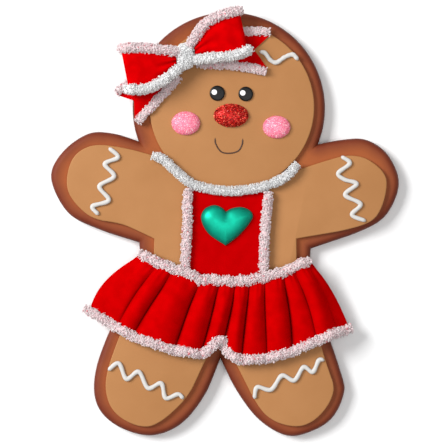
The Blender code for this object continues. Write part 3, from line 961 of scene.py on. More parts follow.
@dataclass
class Eye:
    """A punched foam disc with a softened rim and a painted dot of light."""

    side: str

    def build(self) -> None:
        """Builds the disc and its dot."""
        self.round_piece("eye_" + self.side, BLACK_FOAM, 1.1, 0.5)
        self.round_piece("eye_glint_" + self.side, GLINT_PAINT, 0.5, 0.15)

    def round_piece(self, node: str, finish: Finish, rim: float, crown: float) -> None:
        """Shapes a disc from a cylinder: its top is drawn in and slightly crowned.

        Args:
            node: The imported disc.
            finish: Its finish.
            rim: How wide the soft rim is, in millimetres.
            crown: How much the middle stands up, in millimetres.
        """
        low, high = (np.array(corner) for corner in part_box(node))
        piece = start_piece(
            node + "_disc",
            bpy.ops.mesh.primitive_cylinder_add,
            vertices=64,
            radius=(high[0] - low[0]) / 2,
            depth=high[2] - low[2],
            location=(low + high) / 2,
        )
        settle(piece)
        bpy.ops.object.mode_set(mode="EDIT")
        bpy.ops.mesh.select_all(action="DESELECT")
        bpy.ops.object.mode_set(mode="OBJECT")
        for face in piece.data.polygons:
            face.select = face.normal.z > 0.9
        bpy.ops.object.mode_set(mode="EDIT")
        for _ in range(5):
            bpy.ops.mesh.inset(thickness=(high[0] - low[0]) / 14, depth=0.0)
        bpy.ops.object.mode_set(mode="OBJECT")
        places = read_places(piece)
        top = places[:, 2] > high[2] - 1e-6
        centre = (low + high)[:2] / 2
        out = np.linalg.norm(places[:, :2] - centre, axis=1) / ((high[0] - low[0]) / 2)
        places[top, 2] -= crown * MM * out[top] ** 2
        edge = top & (out > 0.99)
        places[edge, 2] -= rim * 0.5 * MM
        places[edge, :2] = centre + (places[edge, :2] - centre) * (1 - 0.02)
        give_places(piece, places)
        finish_modifier(piece, "BEVEL", width=rim * 0.4 * MM, segments=3, angle_limit=radians(35))
        smooth(piece, 60.0)
        dress(piece, finish, [node])


@dataclass
class Smile:
    """A thin brown line for a mouth."""

    route: Points = ((-13, 110), (-12, 102), (-5, 92), (6, 90), (17, 93), (22, 101), (23, 109))
    half_width_mm: float = 0.85
    half_height_mm: float = 0.45

    def build(self) -> None:
        """Draws the line on the face panel."""
        line = at_level(through(self.route, 12), PANEL_TOP + self.half_height_mm) * MM
        shares = shares_along(line)
        taper = np.clip(np.minimum(shares, 1 - shares) * 25, 0.35, 1)
        piece = tube_piece(
            "mouth_line", line, self.half_width_mm * MM * taper, self.half_height_mm * MM * taper, 8
        )
        smooth(piece, 60.0)
        dress(piece, SMILE_INK, ["mouth"])


@dataclass
class Face:
    """Eyes, glitter nose and cheeks, and the smile."""

    def build(self) -> None:
        """Builds every feature."""
        for side in ("left", "right"):
            Eye(side).build()
            GlitterDome("cheek_" + side, PINK_GLITTER, "pink_glitter", 1.4, 1.15, 0.3, 11).build()
        GlitterDome("nose", RED_GLITTER, "red_glitter", 1.9, 1.3, 0.5, 7).build()
        Smile().build()


# ------------------------------------------------------------------ icing


@dataclass
class Icing:
    """Squeezed beads of puffy paint, thick at the bends and slightly uneven."""

    half_width_mm: float = 2.7
    height_mm: float = 4.2
    routes: dict[str, Points] = field(
        default_factory=lambda: {
            "forehead": ((45, 222), (52, 220), (59, 211), (67, 208), (78, 215), (88, 218), (95, 211)),
            "arm_left": (
                (-151, 97), (-139, 85), (-156, 76), (-144, 60),
                (-163, 47), (-151, 29), (-172, 21), (-164, 10),
            ),
            "arm_right": (
                (151, 86), (162, 77), (147, 64), (155, 56), (171, 50),
                (156, 36), (176, 24), (165, 10), (183, 2),
            ),
            "leg_left": (
                (-152, -192), (-138, -183), (-128, -203), (-112, -194), (-100, -215), (-83, -209),
                (-77, -228), (-61, -223), (-54, -229),
            ),
            "leg_right": (
                (38, -229), (42, -214), (60, -217), (74, -199), (90, -205), (102, -188), (114, -194),
                (122, -179), (129, -179),
            ),
        }
    )

    def build(self) -> None:
        """Squeezes every bead."""
        for seed, (place, route) in enumerate(self.routes.items()):
            self.bead(place, route, seed)

    def bead(self, place: str, route: Points, seed: int) -> None:
        """Squeezes one bead along its route.

        Args:
            place: Where it lies on the figure.
            route: Its route in millimetres.
            seed: What makes its unevenness its own.
        """
        rng = np.random.default_rng(20 + seed)
        line = through(route, 14)
        shares = shares_along(line)
        bends = np.linalg.norm(np.gradient(np.gradient(line, axis=0), axis=0), axis=1)
        swell = 1 + 0.16 * bends / bends.max() + 0.05 * np.sin(shares * 60 + rng.uniform(0, 6))
        from_end = np.minimum(shares, 1 - shares) * length_of(line)
        taper = np.sqrt(np.clip(from_end / self.half_width_mm, 0.04, 1))
        half = self.half_width_mm * swell * taper * MM
        high = self.height_mm / 2 * (0.85 + 0.15 * swell) * taper * MM
        level = PANEL_TOP * MM + 0.15 * MM
        spine = np.column_stack([line * MM, level + high * 0.9])
        piece = tube_piece("icing_" + place + "_bead", spine, half, high, 14)
        places = read_places(piece)
        places[:, 2] = np.maximum(places[:, 2], level)
        give_places(piece, places)
        smooth(piece, 70.0)
        dress(piece, ICING_PAINT, ["icing_" + place])


# ------------------------------------------------------------------ chenille


@dataclass(frozen=True)
class Yarn:
    """How a chenille pile is made: how dense, how long and how curly its tufts are."""

    gap_mm: float = 1.8
    curl_mm: float = 1.0
    core: float = 0.8
    rope_mm: float = 3.6
    rope: float = 0.13
    thick_mm: float = 1.1
    points: int = 5
    sides: int = 4
    flecks: float = 0.0

    def tufts(
        self, centres: np.ndarray, outward: np.ndarray, reach: np.ndarray, rng: np.random.Generator
    ) -> bpy.types.Object:
        """Grows one curly tuft out of each place.

        Args:
            centres: Where each tuft starts, one row each.
            outward: The direction that each one grows in, as unit vectors.
            reach: How far each one stands out, in metres.
            rng: The source of chance.

        Returns:
            One object that holds every tuft.
        """
        count = len(centres)
        side = np.cross(outward, rng.normal(0, 1, (count, 3)))
        side /= np.linalg.norm(side, axis=1)[:, None]
        other = np.cross(outward, side)
        t = np.linspace(0, 1, self.points)
        phase = rng.uniform(0, 2 * pi, count)[:, None]
        spin = rng.uniform(3.6, 6.0, count)[:, None] * rng.choice([-1.0, 1.0], count)[:, None]
        wide = self.curl_mm * MM * rng.uniform(0.6, 1.25, count)[:, None]
        swing_a = (wide * (np.cos(phase + spin * t) - np.cos(phase)))[..., None]
        swing_b = (wide * (np.sin(phase + spin * t) - np.sin(phase)))[..., None]
        rise = (reach[:, None] * np.sin(t * pi * 0.62) / sin(pi * 0.5))[..., None]
        spine = centres[:, None] + outward[:, None] * rise
        spine = spine + side[:, None] * swing_a + other[:, None] * swing_b
        run = np.gradient(spine, axis=1)
        run /= np.linalg.norm(run, axis=2)[..., None] + 1e-12
        ring_a = np.cross(run, outward[:, None] + 0.3 * side[:, None])
        ring_a /= np.linalg.norm(ring_a, axis=2)[..., None] + 1e-12
        ring_b = np.cross(run, ring_a)
        taper = np.array([1.0, 1.1, 1.1, 1.0, 0.6][: self.points]) * self.thick_mm * MM / 2
        angles = np.arange(self.sides) * 2 * pi / self.sides
        ring = (
            ring_a[:, :, None] * np.cos(angles)[None, None, :, None]
            + ring_b[:, :, None] * np.sin(angles)[None, None, :, None]
        )
        places = spine[:, :, None] + ring * taper[None, :, None, None]
        return self.knit(places.reshape(-1, 3), count, rng)

    def knit(self, places: np.ndarray, count: int, rng: np.random.Generator) -> bpy.types.Object:
        """Closes the rings of points of every tuft into thin tubes.

        Args:
            places: The rings' points, tuft by tuft.
            count: How many tufts there are.
            rng: The source of chance.

        Returns:
            One object that holds every tuft.
        """
        turn = self.sides
        each = self.points * turn
        start = np.arange(count)[:, None] * each
        faces = []
        for ring in range(self.points - 1):
            for side in range(turn):
                a = ring * turn + side
                b = ring * turn + (side + 1) % turn
                faces += [(a, b, b + turn), (a, b + turn, a + turn)]
        for side in range(1, turn - 1):
            faces += [(0, side + 1, side), (each - turn, each - turn + side, each - turn + side + 1)]
        corners = np.concatenate([start + np.array(face)[None] for face in faces])
        tufts = bpy.data.objects.new("tufts", raw_mesh("tufts", places, corners, 3))
        bpy.context.scene.collection.objects.link(tufts)
        tone = rng.uniform(0.15, 0.88, count)
        dyed = rng.uniform(0, 1, count) < self.flecks
        tone[dyed] = rng.uniform(0.93, 1.0, int(dyed.sum()))
        give_values(tufts, "tone", np.repeat(tone, each))
        return tufts


@dataclass
class ChenilleEdge:
    """A fluffy edge: a soft core under curly tufts, along one line."""

    name: str
    nodes: tuple[str, ...]
    line: np.ndarray
    half_mm: tuple[float, float]
    finish: ChenillePile
    slot: str
    yarn: Yarn = Yarn()
    seed: int = 1
    lumps: float = 0.10

    def build(self) -> bpy.types.Object:
        """Rolls the core and grows the tufts on it."""
        rng = np.random.default_rng(self.seed)
        length = length_of(self.line)
        steps = max(12, int(length / 0.8))
        line = places_at(self.line, np.linspace(0, 1, steps)) * MM
        lump = self.lumpiness(steps, length, rng)
        half_wide = self.half_mm[0] * MM * lump
        half_high = self.half_mm[1] * MM * lump
        core = tube_piece(self.name, line, half_wide * self.yarn.core, half_high * self.yarn.core, 20)
        self.twist(core, line, length)
        smooth(core, 180.0)
        give_values(core, "tone", np.full(len(core.data.vertices), 0.3))
        around = pi * (self.half_mm[0] + self.half_mm[1])
        count = int(length * around / self.yarn.gap_mm**2)
        place = rng.uniform(0, 1, count) * (steps - 1)
        angle = rng.uniform(0, 2 * pi, count)
        across, up = tube_axes(line)
        low, part = np.floor(place).astype(int), (place % 1)[:, None]
        high = np.minimum(low + 1, steps - 1)
        centre = line[low] * (1 - part) + line[high] * part
        side = across[low] * (1 - part) + across[high] * part
        top = up[low] * (1 - part) + up[high] * part
        wide, tall = half_wide[low], half_high[low]
        offset = side * (wide * np.cos(angle))[:, None] + top * (tall * np.sin(angle))[:, None]
        outward = side * (np.cos(angle) / wide)[:, None] + top * (np.sin(angle) / tall)[:, None]
        outward /= np.linalg.norm(outward, axis=1)[:, None]
        ply = 1 + self.yarn.rope * np.cos(2 * pi * place / (steps - 1) * length / self.yarn.rope_mm + angle)
        offset = offset * ply[:, None]
        over_core = 1.08 - self.yarn.core * 0.88
        reach = np.linalg.norm(offset, axis=1) * over_core * rng.uniform(0.7, 1.12, count)
        tilt = outward + rng.normal(0, 0.28, (count, 3))
        tilt /= np.linalg.norm(tilt, axis=1)[:, None]
        tufts = self.yarn.tufts(centre + offset * self.yarn.core * 0.88, tilt, reach, rng)
        join_into(core, [tufts, *self.ends(line, half_wide, rng)])
        dress(core, self.finish, self.nodes)
        return core

    def twist(self, core: bpy.types.Object, line: np.ndarray, length: float) -> None:
        """Presses the yarn's turns into the core.

        Args:
            core: The core's tube.
            line: Its centre line in metres.
            length: The line's length in millimetres.
        """
        places = read_places(core)
        nearest = np.concatenate([
            np.linalg.norm(chunk[:, None] - line[None], axis=2).argmin(axis=1)
            for chunk in np.array_split(places, 12)
        ])
        across, up = tube_axes(line)
        away = places - line[nearest]
        angle = np.arctan2((away * up[nearest]).sum(axis=1), (away * across[nearest]).sum(axis=1))
        turn = 2 * pi * nearest / (len(line) - 1) * length / self.yarn.rope_mm
        ply = 1 + self.yarn.rope * np.cos(turn + angle)
        give_places(core, line[nearest] + away * ply[:, None])

    def lumpiness(self, steps: int, length: float, rng: np.random.Generator) -> np.ndarray:
        """Uneven thickness along the edge, rounded off at its ends.

        Args:
            steps: Points along the line.
            length: The line's length in millimetres.
            rng: The source of chance.

        Returns:
            A share of the full thickness at each point.
        """
        along = np.linspace(0, length, steps)
        waves = sum(
            np.sin(2 * pi * along / size + rng.uniform(0, 2 * pi)) * share
            for size, share in ((17.0, 0.4), (9.5, 0.35), (5.7, 0.25))
        )
        from_end = np.minimum(along, length - along)
        rounding = np.sqrt(np.clip(from_end / self.half_mm[0] + 0.12, 0.1, 1))
        return (1 + self.lumps * waves) * rounding

    def ends(
        self, line: np.ndarray, half_wide: np.ndarray, rng: np.random.Generator
    ) -> list[bpy.types.Object]:
        """Tufts that close the two ends.

        Args:
            line: The centre line in metres.
            half_wide: Half the width along it.
            rng: The source of chance.

        Returns:
            One object of tufts for each end.
        """
        made = []
        across, up = tube_axes(line)
        for end, inner in ((0, 1), (-1, -2)):
            away = line[end] - line[inner]
            away /= np.linalg.norm(away)
            count = int(40 * self.half_mm[0] * self.half_mm[1] / 30)
            angle = rng.uniform(0, 2 * pi, count)
            out = np.sqrt(rng.uniform(0, 1, count))
            full = max(half_wide) * 0.75
            offset = across[end] * (full * out * np.cos(angle))[:, None]
            offset = offset + up[end] * (full * out * np.sin(angle))[:, None]
            tilt = away + offset / full * 0.8 + rng.normal(0, 0.25, (count, 3))
            tilt /= np.linalg.norm(tilt, axis=1)[:, None]
            centres = line[end] + offset - away * 1.2 * MM
            made.append(self.yarn.tufts(centres, tilt, np.full(count, 2.2 * MM), rng))
        return made


WHITE_YARN = Yarn(gap_mm=1.8, curl_mm=0.8, thick_mm=1.1)
COLLAR_YARN = Yarn(gap_mm=1.5, curl_mm=0.4, core=0.62, rope=0.05, thick_mm=0.8)
PINK_YARN = Yarn(gap_mm=1.8, curl_mm=0.85, thick_mm=1.15, flecks=0.035)
HEM_YARN = Yarn(gap_mm=1.95, curl_mm=0.9, thick_mm=1.25, flecks=0.035)


# ------------------------------------------------------------------ collar, bib and heart


@dataclass
class Collar:
    """A fluffy collar that follows the chin."""

    route: Points = ((-94, 87), (-80, 82), (-64, 67), (-40, 49), (3, 41), (47, 46), (78, 59), (94, 76))
    half_mm: tuple[float, float] = (6.3, 5.2)

    def build(self) -> None:
        """Lays the collar over the panels' seam."""
        line = at_level(through(self.route, 10), BIB_TOP + self.half_mm[1])
        ChenilleEdge(
            "collar_chenille",
            ("collar",),
            line,
            self.half_mm,
            WHITE_PILE,
            "white_chenille",
            COLLAR_YARN,
            31,
            0.06,
        ).build()


@dataclass
class Bib:
    """A flat velvet panel with a chenille edge down each side."""

    left_route: Points = ((-47, 43), (-49, 22), (-49, -2), (-52, -60))
    right_route: Points = ((56, 39), (54, 12), (52, -9), (50, -64))
    trim_half_mm: tuple[float, float] = (5.9, 4.8)
    columns: int = 60
    rows: int = 70
    wave_mm: float = 0.25

    def build(self) -> None:
        """Lays the velvet and its two edges."""
        low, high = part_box("bib")
        piece = grid_piece("bib_velvet", self.surface(high[2]))
        finish_modifier(piece, "SOLIDIFY", thickness=1.2 * MM, offset=-1.0)
        recalculate(piece)
        smooth(piece, 50.0)
        dress(piece, BIB_VELVET, ["bib"])
        for seed, (side, route) in enumerate((("left", self.left_route), ("right", self.right_route))):
            line = at_level(through(route, 12), BIB_TOP + self.trim_half_mm[1])
            ChenilleEdge(
                f"bib_{side}_chenille",
                ("bib_trim_" + side,),
                line,
                self.trim_half_mm,
                PINK_PILE,
                "pink_chenille",
                PINK_YARN,
                41 + seed,
            ).build()

    def surface(self, top_level: float) -> np.ndarray:
        """The bib's front surface between its two edges, with a faint wave from its pile.

        Args:
            top_level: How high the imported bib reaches, in metres.

        Returns:
            The surface's points.
        """
        down = np.linspace(0, 1, self.rows)
        left = places_at(through(self.left_route, 8), down)
        right = places_at(through(self.right_route, 8), down)
        top = through([(-47, 49), (-22, 42), (3, 40), (28, 42), (54, 47)], 8)
        bottom = through([(-52, -64), (-27, -71), (0, -73), (27, -73), (50, -68)], 8)
        across = np.linspace(0, 1, self.columns)
        upper = places_at(top, across)
        lower = places_at(bottom, across)
        plan = np.empty((self.rows, self.columns, 2))
        for i, share in enumerate(down):
            ruled = upper + (lower - upper) * share
            edge = left[i] + (right[i] - left[i]) * across[:, None]
            plan[i, :, 0] = edge[:, 0]
            plan[i, :, 1] = ruled[:, 1]
        level = top_level + self.wave_mm * MM * np.sin(plan[..., 0] / 7) * np.sin(plan[..., 1] / 11)
        return np.dstack([plan * MM, level])


@dataclass
class Heart:
    """A padded satin heart whose outline is drawn in ring by ring as it swells."""

    left_side: Points = (
        (1.3, 14.3), (-5, 20), (-15, 22.6), (-27, 17), (-31, 4), (-21.5, -14.5), (0.9, -30.2),
    )
    right_side: Points = (
        (0.9, -30.2), (19.5, -15.5), (35.5, 5), (32.5, 15.5), (21.6, 20), (9, 18.5), (1.3, 14.3),
    )
    thick_mm: float = 12.0
    edge_mm: float = 1.4
    full_mm: float = 21.0
    rings: int = 18

    def build(self) -> None:
        """Swells the outline into a pillow."""
        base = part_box("heart")[0][2]
        outline = np.vstack([through(self.left_side, 12)[:-1], through(self.right_side, 12)[:-1]]) * MM
        piece = start_piece(
            "heart_satin",
            bpy.ops.mesh.primitive_circle_add,
            vertices=len(outline),
            radius=1.0,
            fill_type="NGON",
        )
        give_places(piece, at_level(outline, base))
        bpy.ops.object.mode_set(mode="EDIT")
        bpy.ops.mesh.select_all(action="SELECT")
        bpy.ops.mesh.extrude_region_move(TRANSFORM_OT_translate={"value": (0.0, 0.0, self.edge_mm * MM)})
        pivot = (1.0 * MM, 1.0 * MM, base)
        for ring in range(self.rings):
            factor = 1 - 1 / (self.rings + 0.3 - ring)
            bpy.ops.mesh.extrude_region_move(TRANSFORM_OT_translate={"value": (0.0, 0.0, 0.01 * MM)})
            bpy.ops.transform.resize(value=(factor, factor, 1.0), center_override=pivot)
        bpy.ops.object.mode_set(mode="OBJECT")
        recalculate(piece)
        self.swell(piece, outline, base)
        smooth(piece, 80.0)
        dress(piece, GREEN_SATIN, ["heart"])

    def swell(self, piece: bpy.types.Object, outline: np.ndarray, base: float) -> None:
        """Raises each point by its distance from the seam, then relaxes the ridges.

        Args:
            piece: The heart.
            outline: Its outline.
            base: The level it lies on.
        """
        places = read_places(piece)
        raised = places[:, 2] > base + self.edge_mm * MM * 0.99
        gap = np.linalg.norm(places[raised, None, :2] - outline[None], axis=2).min(axis=1) / MM
        short = 1 - np.clip(gap / self.full_mm, 0, 1)
        height = self.edge_mm + (self.thick_mm - self.edge_mm) * np.sqrt(1 - short**2)
        places[raised, 2] = base + height * MM
        give_places(piece, places)
        finish_modifier(piece, "SMOOTH", factor=0.6, iterations=10, use_x=False, use_y=False)


# ------------------------------------------------------------------ skirt


@dataclass(frozen=True)
class Fold:
    """One line of a gathered skirt, from its waist to its hem."""

    waist: float
    hem: float
    height: float


@dataclass
class Skirt:
    """A length of wide velvet ribbon gathered into rounded folds, with chenille on both edges."""

    folds: tuple[Fold, ...] = (
        Fold(-111, -178, -0.3),
        Fold(-98, -162, 0.5),
        Fold(-85, -141, -0.6),
        Fold(-77, -133, 0.5),
        Fold(-66, -119, -0.8),
        Fold(-50, -90, 0.9),
        Fold(-31, -66, -1.0),
        Fold(-19, -49, 1.0),
        Fold(-6, -32, -1.0),
        Fold(2, -13, 0.9),
        Fold(14, -1, -1.0),
        Fold(21, 12, 0.9),
        Fold(32, 22, -1.0),
        Fold(43, 34, 0.8),
        Fold(51, 54, -0.7),
        Fold(66, 69, 0.8),
        Fold(75, 87, -1.0),
        Fold(82, 103, 0.3),
        Fold(88, 120, -0.6),
        Fold(98, 134, 1.0),
        Fold(105, 147, -0.1),
        Fold(111, 163, -0.4),
    )
    waist_route: Points = (
        (-110, -41), (-90, -51), (-47, -68), (-27, -75), (-10, -75),
        (7, -77), (27, -76), (67, -67), (110, -50),
    )
    hem_route: Points = (
        (-183, -111), (-144, -134), (-100, -155), (-52, -168), (-28, -169), (-18, -163), (-12, -155),
        (-6, -152), (-1, -156), (1, -164), (9, -173), (27, -178), (72, -172), (122, -152), (164, -137),
    )
    panel_side: Points = ((-200, 148), (-115, 110), (-62, 95), (-21, 93))
    level_mm: float = 36.5
    waist_fold_mm: float = 3.2
    free_fold_mm: float = 8.0
    hem_fold_mm: float = 4.2
    tuck: float = 0.27
    sharp: float = 1.7
    side_drop_mm: float = 13.0
    side_reach_mm: float = 45.0
    steps: int = 9
    rows: int = 60
    waist_half_mm: tuple[float, float] = (6.3, 5.6)
    hem_half_mm: tuple[float, float] = (6.2, 6.0)
    thick_mm: float = 1.1

    def build(self) -> None:
        """Gathers the velvet and lays its two edges."""
        waist = through(self.waist_route, 10)
        hem = through(self.hem_route, 10)
        places = self.surface(waist, hem)
        piece = grid_piece("skirt_velvet", places * MM)
        # Painted shade: stores how deep each point sits in a valley, so the velvet darkens there.
        give_values(piece, "painted_fold_shade", self.painted_fold_shade(read_places(piece) / MM))
        finish_modifier(piece, "SOLIDIFY", thickness=self.thick_mm * MM, offset=0.0)
        recalculate(piece)
        smooth(piece, 70.0)
        dress(piece, SKIRT_VELVET, ["skirt"])
        self.edges(waist, hem)

    def column_lines(self) -> tuple[np.ndarray, np.ndarray, np.ndarray]:
        """Spreads columns over the folds, drawn in towards the valleys.

        Returns:
            Waist x, hem x and fold height of each column.
        """
        waists, hems, heights = [], [], []
        for one, other in zip(self.folds, self.folds[1:]):
            for step in range(self.steps):
                t = step / self.steps
                falling = one.height > other.height
                lean = self.tuck * sin(pi * t) * (1 if falling else -1)
                slide = t + lean * 0.5
                waists.append(one.waist + (other.waist - one.waist) * slide)
                hems.append(one.hem + (other.hem - one.hem) * slide)
                ease = t**self.sharp if falling else 1 - (1 - t) ** self.sharp
                heights.append(one.height + (other.height - one.height) * ease)
        last = self.folds[-1]
        return (
            np.array([*waists, last.waist]),
            np.array([*hems, last.hem]),
            np.array([*heights, last.height]),
        )

    def painted_fold_shade(self, places: np.ndarray) -> np.ndarray:
        """How deep in a valley each point lies, from 0 on the crests to 1: the strength of the velvet's
        painted valley shade.
        """
        sunk = self.level_mm - self.side_drop(places[:, 0], places[:, 1]) - places[:, 2]
        return np.clip(sunk / (self.free_fold_mm * 1.0), 0, 1)

    def side_drop(self, x: np.ndarray, y: np.ndarray) -> np.ndarray:
        """How much the cloth sinks where it hangs out past the panel, in millimetres."""
        heights, halves = zip(*self.panel_side)
        reach = np.clip((np.abs(x) - np.interp(y, heights, halves)) / self.side_reach_mm, 0, 1)
        return self.side_drop_mm * reach**2 * (3 - 2 * reach)

    def surface(self, waist: np.ndarray, hem: np.ndarray) -> np.ndarray:
        """The gathered cloth.

        Args:
            waist: The waistband's line in plan.
            hem: The hem's line in plan.

        Returns:
            Its points in millimetres, as rows, columns and coordinates.
        """
        waist_x, hem_x, fold = self.column_lines()
        top = np.column_stack([waist_x, np.interp(waist_x, waist[:, 0], waist[:, 1])])
        bottom = np.column_stack([hem_x, np.interp(hem_x, hem[:, 0], hem[:, 1])])
        way = top - bottom
        way /= np.linalg.norm(way, axis=1)[:, None]
        top = top - way * (self.waist_half_mm[0] * 0.55)
        bottom = bottom + way * (self.hem_half_mm[0] * 0.35)
        bulge_side = np.where(waist_x > 0, 5.0, -11.0) * (np.abs(waist_x) / 111) ** 3
        rng = np.random.default_rng(5)
        gathers = np.sin(np.cumsum(rng.uniform(0.9, 1.9, len(waist_x))))
        places = np.empty((self.rows, len(waist_x), 3))
        for row in range(self.rows):
            t = row / (self.rows - 1)
            plan = top + (bottom - top) * t
            x = plan[:, 0] + bulge_side * sin(pi * t)
            y = plan[:, 1]
            open_up = min(1.0, t / 0.35)
            open_up = open_up * open_up * (3 - 2 * open_up)
            deep = self.waist_fold_mm + (self.free_fold_mm - self.waist_fold_mm) * open_up
            close = max(0.0, (t - 0.62) / 0.38)
            deep = deep + (self.hem_fold_mm - deep) * close * close
            small = 0.7 * gathers * max(0.0, 1 - t / 0.3)
            swing = 1.1 * np.sin(t * 3.0 + waist_x / 13.0) * open_up
            z = self.level_mm + deep * fold + small + 1.5 * sin(pi * t) - self.side_drop(x, y)
            places[row] = np.column_stack([x + swing, y, z])
        return places

    def edges(self, waist: np.ndarray, hem: np.ndarray) -> None:
        """Lays the waistband and the hem, which ride up and down with the folds.

        Args:
            waist: The waistband's line in plan.
            hem: The hem's line in plan.
        """
        waist_x, hem_x, fold = self.column_lines()
        order = np.argsort(waist_x)
        waves = np.interp(waist[:, 0], waist_x[order], fold[order])
        level = self.level_mm + 0.8 * waves - self.side_drop(waist[:, 0], waist[:, 1])
        top = np.column_stack([waist[:, 0], waist[:, 1] + 1.6 * waves, level])
        ChenilleEdge(
            "skirt_waist_chenille",
            ("skirt_waistband",),
            top,
            self.waist_half_mm,
            PINK_PILE,
            "pink_chenille",
            PINK_YARN,
            51,
            0.14,
        ).build()
        order = np.argsort(hem_x)
        waves = np.interp(hem[:, 0], hem_x[order], fold[order])
        level = self.level_mm + self.hem_fold_mm * waves - self.side_drop(hem[:, 0], hem[:, 1])
        bottom = np.column_stack([hem[:, 0], hem[:, 1] + 1.4 * waves, level])
        ChenilleEdge(
            "skirt_hem_chenille",
            ("skirt_hem",),
            bottom,
            self.hem_half_mm,
            PINK_PILE,
            "pink_chenille",
            HEM_YARN,
            52,
            0.12,
        ).build()


# ------------------------------------------------------------------ bow


class Side(Enum):
    """Which side of the knot a part of the bow is on, as the face is looked at."""

    LEFT = "left"
    RIGHT = "right"


@dataclass
class BowLoop:
    """A loop of ribbon that turns back on itself, pinched into small pleats at the knot."""

    side: Side
    upper: Points
    lower: Points
    turn_share: float = 0.1
    turn_mm: float = 6.2
    pleats: float = 2.4
    pleat_mm: float = 2.2
    trim_mm: float = 6.2
    trim_overlap_mm: float = 0.6
    tuck_mm: float = 5.0
    packed_trim_mm: float = 5.6
    sag_mm: float = 5.0
    crown_mm: float = 2.4
    rows: int = 26
    thick_mm: float = 1.1

    def build(self) -> None:
        """Folds the velvet and lays its two edges."""
        stations = self.stations()
        upper = through(self.upper, 10)
        lower = through(self.lower, 10)
        name = "bow_loop_" + self.side.value
        piece = grid_piece(name + "_velvet", self.surface(stations, upper, lower) * MM)
        finish_modifier(piece, "SOLIDIFY", thickness=self.thick_mm * MM, offset=0.0)
        recalculate(piece)
        smooth(piece, 70.0)
        dress(piece, BOW_VELVET, [name])
        outward = 1 if self.side is Side.RIGHT else -1
        for seed, (which, edge, sign) in enumerate((("upper", upper, 1), ("lower", lower, -1))):
            moved = moved_left(edge, sign * outward * (self.trim_mm - self.trim_overlap_mm))
            inwards = (moved[:1] - moved[1:2]) / np.linalg.norm(moved[0] - moved[1])
            moved = np.vstack([moved[:1] + inwards * self.tuck_mm, moved])
            plan = places_at(moved, [share for share, _ in stations])
            line = np.column_stack([plan, [level for _, level in stations]])
            ChenilleEdge(
                f"{name}_{which}_chenille",
                (f"{name}_{which}_trim",),
                line,
                (self.trim_mm, self.trim_mm),
                PINK_PILE if which == "upper" else WHITE_PILE,
                "white_chenille",
                PINK_YARN if which == "upper" else WHITE_YARN,
                61 + seed + (10 if self.side is Side.RIGHT else 0),
            ).build()

    def stations(self) -> list[tuple[float, float]]:
        """Where the ribbon passes: share of the way from the knot to the fold, and level."""
        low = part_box(f"bow_loop_{self.side.value}_upper_trim")[0]
        back = low[2] / MM + self.packed_trim_mm
        front = back + 2 * self.turn_mm
        edge = 1 - self.turn_share
        out = [
            (share, front - self.sag_mm * (1 - share / edge) ** 2)
            for share in np.linspace(0, edge, 22)[:-1]
        ]
        turn = [
            (edge + self.turn_share * sin(angle), back + self.turn_mm * (1 + cos(angle)))
            for angle in np.linspace(0, pi, 15)
        ]
        home = [(share, back) for share in np.linspace(edge, 0, 12)[1:]]
        return out + turn + home

    def surface(
        self, stations: list[tuple[float, float]], upper: np.ndarray, lower: np.ndarray
    ) -> np.ndarray:
        """The folded ribbon.

        Args:
            stations: Share of the way out, and level, in order along the ribbon.
            upper: The upper edge in plan.
            lower: The lower edge in plan.

        Returns:
            Its points in millimetres.
        """
        shares = [share for share, _ in stations]
        across = np.linspace(0, 1, self.rows)
        top = places_at(upper, shares)
        bottom = places_at(lower, shares)
        places = np.empty((len(stations), self.rows, 3))
        for i, (share, level) in enumerate(stations):
            plan = top[i] + (bottom[i] - top[i]) * across[:, None]
            pinch = max(0.0, 1 - share / 0.75) ** 1.4
            pleat = self.pleat_mm * pinch * np.cos(2 * pi * self.pleats * across + 0.6)
            crown = self.crown_mm * np.sin(pi * across) * sin(pi * min(1.0, share / 0.9))
            front = 1.0 if level > stations[-1][1] + self.turn_mm else 0.3
            places[i] = np.column_stack([plan, level + (pleat + crown) * front])
        return places


